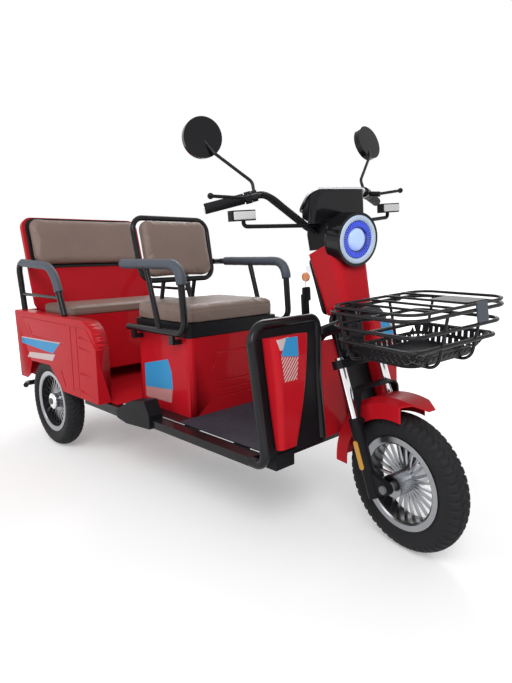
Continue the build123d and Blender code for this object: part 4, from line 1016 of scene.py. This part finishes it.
def wall_relief(radius):
    """Raised rings and the rim guard on the side wall, as a depth below the profile."""
    return -sum(
        height * max(0.0, 1.0 - ((radius - middle) / WALL_RING_HALF) ** 2) for middle, height in WALL_RINGS
    )


def surface_depth(x, radius, angle):
    """How far the tyre's surface lies inside its profile."""
    depth = 0.0
    if abs(x) < TYRE_HALF - 1.0 and radius > SHOULDER_RADIUS - 8.0:
        depth = tread_depth(x, angle)
    if abs(x) > SHOULDER_HALF and radius <= SHOULDER_RADIUS - 2.0:
        depth += 0.5 + wall_relief(radius) * 0.5
    return depth


def build_tyre(name, node, body, joint):
    """One tyre with its cut tread, round the wheel's own axis."""
    centre = Vector(joint["pos_m"])
    turn = round_the(joint["axis"])
    profile = tyre_profile()
    verts, faces = [], []
    for angle in angles_of(TYRE_STEPS):
        out = Vector((0.0, math.cos(angle), math.sin(angle)))
        for x, radius in profile:
            depth = surface_depth(x, radius, angle)
            point = Vector((x, 0, 0)) * (1 - 0.006 * depth) + out * (radius - depth)
            verts.append(centre + turn @ (point * MM))
        for x in (-TYRE_BEAD[0], TYRE_BEAD[0]):
            verts.append(centre + turn @ ((Vector((x, 0, 0)) + out * TYRE_INNER) * MM))
    rows = len(profile) + 2
    for index in range(TYRE_STEPS):
        here, after = index * rows, (index + 1) % TYRE_STEPS * rows
        for row in range(rows):
            beyond = (row + 1) % rows
            faces.append((here + row, after + row, after + beyond, here + beyond))
    piece = add_piece(name, mesh_of(name, verts, faces), body, tyre_rubber())
    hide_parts(node)


def build_tyres():
    """The three tyres."""
    for name, node, wheel in TYRES:
        build_tyre(name, node, wheel, JOINTS[f"{wheel}_spin"])


# ---------- panels with pressed lines ----------
SHARP_EDGE = math.radians(32.0)
PANEL_X = 384.0
PANEL_LINE_DEPTH = 2.6
BOX_FRONT = 743.0
BOX_LINE_DEPTH = 2.2
PANEL_LINES = (
    ((1355, 312), (1355, 586), 7.0),
    ((1300, 306), (1300, 586), 6.0),
    ((1280, 548), (1186, 546), 9.0),
    ((1284, 506), (1180, 501), 7.0),
    ((1284, 398), (1176, 398), 7.0),
    ((1284, 322), (1180, 320), 10.0),
    ((1748, 508), (1424, 506), 8.0),
    ((1430, 314), (1466, 384), 10.0),
    ((1850, 590), (1210, 590), 5.0),
    ((1800, 560), (1760, 520), 7.0),
)
BOX_LINES = (
    ((-96, 402), (92, 402), 6.0),
    ((-106, 372), (98, 372), 5.0),
    ((-128, 343), (100, 343), 5.0),
    ((-104, 512), (66, 512), 8.0),
    ((-104, 512), (-128, 452), 6.0),
    ((66, 512), (110, 440), 6.0),
)
PANEL_LINE_ROUND = 1.0
BOX_LINE_ROUND = 0.9
BIN_MIDDLE = -41.0
BIN_SLOTS = range(-6, 7)
SLOT_PITCH = (20.0, 21.0)
SLOT_ROUND = 1.2
BIN_SLOT_ROWS = ((607.0, 622.0), (630.0, 645.0))
SLOT_REACH = 420.0


def bar_outline(start, end, width):
    """The outline of a straight bar with chamfered ends, between two points of a panel's plane."""
    (a, b), (c, d) = start, end
    length = math.hypot(c - a, d - b)
    u = Vector(((c - a) / length, (d - b) / length))
    v = Vector((-u.y, u.x))
    half, nip = width / 2, width / 4
    corners = [
        (0.0, -half + nip), (nip, -half), (length - nip, -half), (length, -half + nip),
        (length, half - nip), (length - nip, half), (nip, half), (0.0, half - nip),
    ]
    return [(a + u.x * s + v.x * t, b + u.y * s + v.y * t) for s, t in corners]


def cut_node(name, node, body, material, cutters, before=None, after=None):
    """A frame piece with lines pressed into it or slots cut through it."""
    mesh = node_mesh(node)
    if before:
        mesh.transform(before)
    piece = add_piece(name, mesh, body, material)
    tool = bpy.data.objects.new(name + "_tool", join_meshes(cutters, name + "_tool"))
    bpy.context.scene.collection.objects.link(tool)
    weld = piece.modifiers.new("weld", "WELD")
    weld.merge_threshold = SAME_POINT
    cut = piece.modifiers.new("cut", "BOOLEAN")
    cut.operation = "DIFFERENCE"
    cut.solver = "EXACT"
    cut.use_self = True
    cut.object = tool
    bake_modifiers(piece)
    unused = tool.data
    bpy.data.objects.remove(tool)
    bpy.data.meshes.remove(unused)
    if after:
        piece.data.transform(after)
    smooth(piece.data)
    piece.data.set_sharp_from_angle(angle=SHARP_EDGE)
    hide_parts(node)


def panel_cutters():
    """The bars that press the lines into both body sides."""
    return [
        prism(bar_outline(start, end, width), place(side * PANEL_X, 0, 0), (0, 1, 0), UP,
              2 * PANEL_LINE_DEPTH, PANEL_LINE_ROUND)
        for side in (-1, 1)
        for start, end, width in PANEL_LINES
    ]


def box_cutters():
    """The bars that press the lines into the front of the seat box."""
    return [
        prism(bar_outline(start, end, width), place(0, BOX_FRONT, 0), (1, 0, 0), UP,
              2 * BOX_LINE_DEPTH, BOX_LINE_ROUND)
        for start, end, width in BOX_LINES
    ]


def slot_cutters():
    """The two rows of slanted slots round the basket's bin."""
    cutters = []
    for low, high in BIN_SLOT_ROWS:
        for way, origin, middle, pitch in (
            ((0, 1, 0), place(0, 0, 0), BIN_MIDDLE, SLOT_PITCH[0]),
            ((1, 0, 0), place(0, BIN_MIDDLE, 0), 0.0, SLOT_PITCH[1]),
        ):
            for index in BIN_SLOTS:
                at = middle + pitch * index
                outline = [(at - 4, low), (at + 3, low), (at + 9, high), (at + 2, high)]
                cutters.append(prism(outline, origin, way, UP, SLOT_REACH, SLOT_ROUND))
    return cutters


def build_pressed_panels():
    """The body sides, the seat box and the basket's bin."""
    cut_node("body_side_panels", "body_sides", "chassis", side_paint(), panel_cutters())
    cut_node("seat_box_panels", "rider_box", "chassis", box_paint(), box_cutters())
    matrix = parked_matrix()
    cut_node("basket_bin_slots", "basket_bin", "steer", black_plastic(), slot_cutters(),
             matrix.inverted(), matrix)


# ---------- head ----------
LAMP_FACE = (0.0, 172.0, 912.0)
LAMP_TILT = math.radians(4.0)
LAMP_AIM = Vector((0.0, -math.cos(LAMP_TILT), -math.sin(LAMP_TILT)))
LAMP_RING = ((-8, 70.6), (0.5, 70.6), (2.6, 69.0), (2.8, 64.0), (1.2, 57.0), (-1.5, 55.5), (-8, 55.5))
LAMP_BOWL = ((-8, 56.0), (-4, 55.0), (-6, 37.0), (-9, 34.0), (-11, 0.0), (-14, 0.0), (-14, 56.0))
LAMP_LENS = ((-10, 33.0), (-6, 33.0), (-2.5, 29.0), (0.5, 21.0), (1.8, 11.0), (2.2, 0.0))
LAMP_CELLS = 44
CELL_OUTLINE = ((38.0, -1.5), (53.5, -2.3), (53.5, 2.3), (38.0, 1.5))
CELL_DEPTH = 3.0


def build_headlight():
    """The lamp's glass ring, its bowl with a ring of cells, and the bright lens in the middle."""
    face = place(*LAMP_FACE)
    for name, profile, steps, closed, color, strength in (
        ("lamp_ring", LAMP_RING, 96, True, (0.42, 0.52, 0.66), 0.16),
        ("lamp_bowl", LAMP_BOWL, 72, True, (0.012, 0.02, 0.10), 0.3),
        ("lamp_lens", LAMP_LENS, 72, False, (0.34, 0.46, 0.95), 0.55),
    ):
        turned = lathe(profile, face, LAMP_AIM, steps, closed)
        piece = steer_piece(name, turned, glow(name, color, strength))
        if name == "lamp_ring":
            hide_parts("headlight_lens")
    side = LAMP_AIM.cross(Vector((1.0, 0.0, 0.0))).normalized()
    behind = face - LAMP_AIM * CELL_DEPTH * MM
    cells = []
    for angle in angles_of(LAMP_CELLS):
        out = Vector((math.cos(angle), 0.0, 0.0)) + side * math.sin(angle)
        cells.append(prism(CELL_OUTLINE, behind, out, out.cross(LAMP_AIM), CELL_DEPTH, 0.6))
    steer_piece("lamp_cells", join_meshes(cells, "lamp_cells"), glow("lamp_cells", (0.03, 0.07, 0.62), 0.5))


# ---------- grips ----------
BAR_SHOULDER = Vector((198.0, 356.0, 1065.0))
BAR_END = Vector((356.0, 449.0, 1031.0))
GRIP_LENGTH = 124.0
GRIP_RADIUS = 16.0
GRIP_COLLAR = 9.0
GRIP_STEPS = 96
GRIP_ROWS = 84
GRIP_START = 0.4
KNURLS = 12
KNURL_TWIST = 0.42
KNURL_DEPTH = 1.1
KNURL_FLAT = 0.45
END_ROUND = 3.0
END_DROP = 2.0
GRIP_CAP = (
    (GRIP_LENGTH - 3, 15.2), (GRIP_LENGTH - 1, 15.2), (GRIP_LENGTH, 13.0),
    (GRIP_LENGTH + 0.8, 8.0), (GRIP_LENGTH + 0.8, 0.0), (GRIP_LENGTH - 3, 0.0),
)


def grip_radius(along, angle):
    """The knurled grip's radius at a place along and round it, in millimetres."""
    ends = min(1.0, min(along, GRIP_LENGTH - along) / END_ROUND)
    radius = GRIP_RADIUS - END_DROP * (1 - ends)
    if along < GRIP_COLLAR:
        return radius
    twist = along * KNURL_TWIST
    weave = math.sin(angle * KNURLS + twist) * math.sin(angle * KNURLS - twist)
    return radius - KNURL_DEPTH * max(0.0, KNURL_FLAT - weave)


def build_grips():
    """Knurled rubber grips with bright end caps."""
    meshes, caps = [], []
    ahead = (BAR_END - BAR_SHOULDER).normalized()
    for side in (-1, 1):
        axis = Vector((side * ahead.x, ahead.y, ahead.z))
        tip = Vector((side * BAR_END.x, BAR_END.y, BAR_END.z))
        origin = place(*(tip - axis * GRIP_LENGTH))
        turn = round_the(axis)
        verts = []
        for row in range(GRIP_ROWS + 1):
            along = GRIP_START + (GRIP_LENGTH - 1.0) * row / GRIP_ROWS
            for angle in angles_of(GRIP_STEPS):
                radius = grip_radius(along, angle)
                point = Vector((along, radius * math.cos(angle), radius * math.sin(angle)))
                verts.append(origin + turn @ point * MM)
        meshes.append(skin_rings("grip", verts, GRIP_STEPS))
        caps.append(lathe(GRIP_CAP, origin, axis, 40))
    grips = smooth(join_meshes(meshes, "grip_sleeves"))
    piece = steer_piece("grip_sleeves", grips, black_plastic())
    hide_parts("grips")
    ends = smooth(join_meshes(caps, "grip_ends"))
    steer_piece("grip_ends", ends, bright_chrome())


# ---------- controls ----------
POD_RIM = (
    (-84, 240, 1066), (84, 240, 1066), (110, 252, 1058), (106, 286, 1034), (96, 322, 1008), (78, 332, 1002),
    (-78, 332, 1002), (-96, 322, 1008), (-106, 286, 1034), (-110, 252, 1058),
)
RIM_WIRE = 3.6
LOOM = (
    (-214, 346, 1062), (-184, 336, 1050), (-150, 324, 1020),
    (-110, 311, 985), (-76, 300, 955), (-58, 298, 940),
)
LOOM_SPACING = 1.3
LOOM_RADIUS = 6.8
LOOM_RIB = 1.4
LOOM_BEAT = 0.62
SIGNAL_X = (260.0, 332.0)
SIGNAL_Y = (314.5, 322.0)
SIGNAL_Z = (991.5, 1014.5)
KEY_ROOT = (-4, 352, 822)
KEY_WAY = Vector((-0.42, 0.90, 0.05)).normalized()
KEY_BOW = 10.0
KEY_BOW_MIDDLE = 38.0
KEY_HALF_WIDTH = 3.2
KEY_THICKNESS = 2.4
KEY_WIRE = 1.4
KEY_LINK = ((-23, 391, 813), (-26, 400, 812), (-28, 400, 786), (-28, 398, 764))
DISC_PLACE = (-26, 398, 796)
DISC_PROFILE = ((-2.0, 0.0), (-2.0, 13.5), (-1.0, 15.0), (1.0, 15.0), (2.0, 13.5), (2.0, 0.0))
RAKE = math.radians(19.0)
REFLECTOR = (44.0, 9.0, 8.5)
REFLECTOR_X = 101.5
REFLECTOR_BEHIND = 88
REFLECTOR_Z = 288
STRAP = (22.0, 26.0, 6.0)
TAG_THICKNESS = 4.0
TAG_ROUND = 1.2
STRAP_PLACE = (58, -203.5, 724)
STRAP_UP = (0, 0.12, 1)


def sweep_points(points, radii, steps=20):
    """A tube whose radius changes along its line."""
    verts = []
    side = None
    for index, (point, radius) in enumerate(zip(points, radii)):
        ahead = (points[min(index + 1, len(points) - 1)] - points[max(index - 1, 0)]).normalized()
        if side is None:
            side = ahead.orthogonal().normalized()
        side = (side - ahead * side.dot(ahead)).normalized()
        other = ahead.cross(side)
        for angle in angles_of(steps):
            verts.append(point + (side * math.cos(angle) + other * math.sin(angle)) * (radius * MM))
    return skin_rings("swept", verts, steps)


def smooth_run(points, spacing):
    """Evenly spaced points along a smooth line through the given ones, in metres."""
    line = [place(*point) for point in points]
    dense = []
    for index in range(len(line) - 1):
        before, start = line[max(index - 1, 0)], line[index]
        end, after = line[index + 1], line[min(index + 2, len(line) - 1)]
        pieces_here = max(2, int((end - start).length / (spacing * MM)))
        for step in range(pieces_here):
            t = step / pieces_here
            dense.append(0.5 * (
                2 * start + (end - before) * t + (2 * before - 5 * start + 4 * end - after) * t * t
                + (3 * start - before - 3 * end + after) * t ** 3
            ))
    dense.append(line[-1])
    return dense


def build_key():
    """The ignition key with its copper disc, link and remote."""
    bow = [
        (KEY_BOW_MIDDLE + KEY_BOW * math.cos(math.radians(a)), KEY_BOW * math.sin(math.radians(a)))
        for a in range(-150, 151, 20)
    ]
    outline = [(2.0, -KEY_HALF_WIDTH)] + bow + [(2.0, KEY_HALF_WIDTH)]
    key = prism(outline, place(*KEY_ROOT), KEY_WAY, UP, KEY_THICKNESS, 0.5)
    steer_piece("ignition_key", key, silver_trim())
    disc = lathe(DISC_PROFILE, place(*DISC_PLACE), (0.9, 0.4, 0), 40)
    steer_piece("key_disc", disc, copper())
    remote = join_meshes([
        rounded_box((-48.0, 392.0, 668.0), (-18.0, 406.0, 742.0), 6.5, 4),
        rounded_box((-44.0, 390.0, 716.0), (-12.0, 403.0, 764.0), 6.0, 4),
    ], "key_remote")
    steer_piece("key_remote", smooth(remote), black_plastic())
    tube("key_link", [place(*point) for point in KEY_LINK], KEY_WIRE, silver_trim())


def build_controls():
    """The display's rim, the wiring sleeve, the signals' lenses, the key, the fork's reflectors and
    the basket's strap."""
    tube("display_rim", [place(*point) for point in POD_RIM], RIM_WIRE, silver_trim(),
         cyclic=True)
    loom = smooth_run(LOOM, LOOM_SPACING)
    ribs = [LOOM_RADIUS + LOOM_RIB * abs(math.sin(index * LOOM_BEAT)) for index in range(len(loom))]
    steer_piece("wiring_sleeve", sweep_points(loom, ribs), black_plastic())
    lenses = []
    for side in (-1, 1):
        near, far = sorted(side * x for x in SIGNAL_X)
        lenses.append(rounded_box((near, SIGNAL_Y[0], SIGNAL_Z[0]), (far, SIGNAL_Y[1], SIGNAL_Z[1]), 2.4))
    steer_piece("signal_lenses", smooth(join_meshes(lenses, "signal_lenses")), white_lens())
    build_key()
    along_fork = Vector((0.0, math.sin(RAKE), math.cos(RAKE)))
    across_fork = (0, -math.cos(RAKE), math.sin(RAKE))
    reflectors = [
        prism(rounded_outline(*REFLECTOR, 4), place(side * REFLECTOR_X, REFLECTOR_BEHIND, REFLECTOR_Z),
              along_fork, across_fork, TAG_THICKNESS, TAG_ROUND)
        for side in (-1, 1)
    ]
    steer_piece("fork_reflectors", join_meshes(reflectors, "fork_reflectors"), amber())
    tongue = prism(rounded_outline(*STRAP, 4), place(*STRAP_PLACE), (1, 0, 0), STRAP_UP,
                   TAG_THICKNESS, TAG_ROUND)
    steer_piece("basket_strap", tongue, strap_grey())


# ---------- trim of the chassis and the rear wheels ----------
BORDER_HALF = (307, 125)
BORDER_CORNER = 46
BORDER_FORWARD = 17.0
BORDER_THICKNESS = 5.0
BORDER_ROUND = 1.4
HUB_CAP = ((22, 0.0), (22, 37.0), (28, 38.5), (31, 36.0), (34, 27.0), (35.5, 15.0), (36, 0.0))
MAT_MIDDLE = (0, 536, 290.0)
MAT_PITCH = 22.0
RIB_HALF = (4.0, 178)
RIB_THICKNESS = 2.0
RIB_ROUND = 0.8
RIBS = range(-11, 12)


def build_trim():
    """The border behind the passengers' backrest, the hub caps and the mat's ribs."""
    out = Vector((0.0, -math.cos(REAR_LEAN), math.sin(REAR_LEAN)))
    up = Vector((0.0, math.sin(REAR_LEAN), math.cos(REAR_LEAN)))
    origin = box_middle("rear_cushion") - out * BORDER_FORWARD * MM
    border = prism(rounded_outline(*BORDER_HALF, BORDER_CORNER), origin, (1, 0, 0), up,
                   BORDER_THICKNESS, BORDER_ROUND)
    add_piece("backrest_border", border, "chassis", gloss_black())
    for side, outward in (("right", -1.0), ("left", 1.0)):
        joint = JOINTS[f"rear_wheel_{side}_spin"]
        cap = lathe(HUB_CAP, Vector(joint["pos_m"]), (outward, 0, 0), 64)
        add_piece(f"hub_cap_{side}", cap, f"rear_wheel_{side}", bright_chrome())
    half_width, half_length = RIB_HALF
    ribs = []
    for index in RIBS:
        near, far = index * MAT_PITCH - half_width, index * MAT_PITCH + half_width
        outline = [(near, -half_length), (far, -half_length), (far, half_length), (near, half_length)]
        ribs.append(prism(outline, place(*MAT_MIDDLE), (1, 0, 0), (0, 1, 0), RIB_THICKNESS, RIB_ROUND, 1))
    add_piece("mat_ribs", join_meshes(ribs, "mat_ribs"), "chassis", floor_rubber())


# ---------- stage ----------
SENSOR_WIDTH = 36.0
FLOOR_REACH = 14.0
FLOOR_GREY = (0.86, 0.86, 0.86, 1.0)
FADE_REACH = (1.3, 3.6)
FADE_LEVEL = (0.26, 0.8)
WORLD_LEVEL = (0.55, 1.0)
LAMPS = (
    ("key", (-3.2, -3.4, 4.2), (0.0, 0.0, 0.5), 2.6, 150.0),
    ("fill", (-4.6, 1.0, 3.4), (0.0, 0.2, 0.5), 2.4, 40.0),
    ("rim", (3.4, 2.4, 3.6), (0.0, 0.0, 0.6), 2.2, 70.0),
)


def pale_ray(tree):
    """1 for the rays that see the background directly, in a reflection or through glass."""
    path = tree.nodes.new("ShaderNodeLightPath")
    seen = path.outputs["Is Camera Ray"]
    for kind in ("Is Glossy Ray", "Is Transmission Ray"):
        seen = compute(tree, "MAXIMUM", seen, path.outputs[kind])
    return seen


def build_floor():
    """A pale floor that fades into the background."""
    mesh = bpy.data.meshes.new("studio_floor")
    corners = [(FLOOR_REACH * x, FLOOR_REACH * y, 0.0) for x, y in ((-1, -1), (1, -1), (1, 1), (-1, 1))]
    mesh.from_pydata(corners, [], [(0, 1, 2, 3)])
    floor = bpy.data.objects.new("studio_floor", mesh)
    bpy.context.scene.collection.objects.link(floor)
    material = bpy.data.materials.new("studio_floor")
    material.use_nodes = True
    tree = material.node_tree
    shader = tree.nodes["Principled BSDF"]
    shader.inputs["Base Color"].default_value = FLOOR_GREY
    shader.inputs["Roughness"].default_value = 0.9
    shader.inputs["Emission Strength"].default_value = 1.0
    away = compute_vector(tree, "LENGTH", own_place(tree), result="Value")
    level = compute(tree, "MULTIPLY", remap(tree, away, FADE_REACH, FADE_LEVEL), pale_ray(tree))
    tree.links.new(level, shader.inputs["Emission Color"])
    mesh.materials.append(material)


def build_lights():
    """A pale world and three soft lamps."""
    world = bpy.data.worlds.new("studio")
    bpy.context.scene.world = world
    world.use_nodes = True
    tree = world.node_tree
    background = tree.nodes["Background"]
    level = remap(tree, pale_ray(tree), target=WORLD_LEVEL)
    tree.links.new(level, background.inputs["Strength"])
    background.inputs["Color"].default_value = (1.0, 1.0, 1.0, 1.0)
    for name, spot, aim, size, power in LAMPS:
        lamp = bpy.data.lights.new(name, "AREA")
        lamp.size = size
        lamp.energy = power
        holder = bpy.data.objects.new(name, lamp)
        bpy.context.scene.collection.objects.link(holder)
        holder.location = spot
        holder.rotation_euler = (Vector(aim) - Vector(spot)).to_track_quat("-Z", "Y").to_euler()


def build_camera():
    """The camera, from its place, heading, pitch and roll."""
    view = bpy.context.scene.tricycle_stage
    camera = bpy.data.cameras.new("view")
    camera.lens = view.lens
    camera.sensor_width = SENSOR_WIDTH
    holder = bpy.data.objects.new("view", camera)
    bpy.context.scene.collection.objects.link(holder)
    forward = Vector((
        math.sin(view.camera_yaw) * math.cos(view.camera_pitch),
        math.cos(view.camera_yaw) * math.cos(view.camera_pitch),
        math.sin(view.camera_pitch),
    ))
    right = forward.cross(Vector((0.0, 0.0, 1.0))).normalized()
    up = right.cross(forward)
    cos_roll = math.cos(view.camera_roll)
    sin_roll = math.sin(view.camera_roll)
    right, up = right * cos_roll + up * sin_roll, up * cos_roll - right * sin_roll
    turn = Matrix((right, up, -forward)).transposed()
    location = Vector((view.camera_x, FRONT_AXLE_Y + view.camera_back, view.camera_z))
    holder.matrix_world = Matrix.Translation(location) @ turn.to_4x4()
    bpy.context.scene.camera = holder


# ---------- operators, panel and registration ----------
class TRICYCLE_OT_frame_finish(bpy.types.Operator):
    """Give the frame's own pieces their finishes"""

    bl_idname = "tricycle.frame_finish"
    bl_label = "Frame finishes"

    def execute(self, context):
        dress_frame_nodes()
        return {"FINISHED"}


class TRICYCLE_OT_cushions(bpy.types.Operator):
    """Make the four cushions"""

    bl_idname = "tricycle.cushions"
    bl_label = "Cushions"

    def execute(self, context):
        build_cushions()
        return {"FINISHED"}


class TRICYCLE_OT_arm_pads(bpy.types.Operator):
    """Make the foam sleeves of the arm rails"""

    bl_idname = "tricycle.arm_pads"
    bl_label = "Arm pads"

    def execute(self, context):
        build_arm_pads()
        return {"FINISHED"}


class TRICYCLE_OT_tyres(bpy.types.Operator):
    """Make the tyres with their tread"""

    bl_idname = "tricycle.tyres"
    bl_label = "Tyres"

    def execute(self, context):
        build_tyres()
        return {"FINISHED"}


class TRICYCLE_OT_panels(bpy.types.Operator):
    """Press the lines into the panels and cut the bin's slots"""

    bl_idname = "tricycle.panels"
    bl_label = "Panels"

    def execute(self, context):
        build_pressed_panels()
        return {"FINISHED"}


class TRICYCLE_OT_headlight(bpy.types.Operator):
    """Make the headlight's glass, cells and lens"""

    bl_idname = "tricycle.headlight"
    bl_label = "Headlight"

    def execute(self, context):
        build_headlight()
        return {"FINISHED"}


class TRICYCLE_OT_controls(bpy.types.Operator):
    """Make the grips, the display's rim, the wiring sleeve, the lenses, the key and the strap"""

    bl_idname = "tricycle.controls"
    bl_label = "Controls"

    def execute(self, context):
        build_grips()
        build_controls()
        return {"FINISHED"}


class TRICYCLE_OT_trim(bpy.types.Operator):
    """Make the backrest's border, the hub caps and the mat's ribs"""

    bl_idname = "tricycle.trim"
    bl_label = "Trim"

    def execute(self, context):
        build_trim()
        return {"FINISHED"}


class TRICYCLE_OT_stage(bpy.types.Operator):
    """Set the floor, the light and the camera"""

    bl_idname = "tricycle.stage"
    bl_label = "Stage"

    def execute(self, context):
        build_floor()
        build_lights()
        build_camera()
        return {"FINISHED"}


class TRICYCLE_PT_panel(bpy.types.Panel):
    """The builder's panel in the sidebar"""

    bl_label = "Cargo tricycle"
    bl_idname = "TRICYCLE_PT_panel"
    bl_space_type = "VIEW_3D"
    bl_region_type = "UI"
    bl_category = "Tricycle"

    def draw(self, context):
        self.layout.prop(context.scene.tricycle_finish, "body_paint")
        self.layout.prop(context.scene.tricycle_finish, "leather")
        for step in STEPS:
            self.layout.operator(step.bl_idname)


STEPS = [
    TRICYCLE_OT_stage,
    TRICYCLE_OT_frame_finish,
    TRICYCLE_OT_cushions,
    TRICYCLE_OT_arm_pads,
    TRICYCLE_OT_tyres,
    TRICYCLE_OT_panels,
    TRICYCLE_OT_headlight,
    TRICYCLE_OT_controls,
    TRICYCLE_OT_trim,
]
CLASSES = [TricycleFinish, TricycleStage, *STEPS, TRICYCLE_PT_panel]


def register():
    """Adds the classes and the settings to Blender."""
    for each in CLASSES:
        bpy.utils.register_class(each)
    bpy.types.Scene.tricycle_finish = PointerProperty(type=TricycleFinish)
    bpy.types.Scene.tricycle_stage = PointerProperty(type=TricycleStage)


def unregister():
    """Takes them out again."""
    del bpy.types.Scene.tricycle_stage
    del bpy.types.Scene.tricycle_finish
    for each in reversed(CLASSES):
        bpy.utils.unregister_class(each)


def main():
    """Builds everything through the operators."""
    register()
    bpy.context.scene.view_settings.view_transform = "Standard"
    for step in STEPS:
        group, call = step.bl_idname.split(".")
        getattr(getattr(bpy.ops, group), call)()


if __name__ == "__main__":
    main()
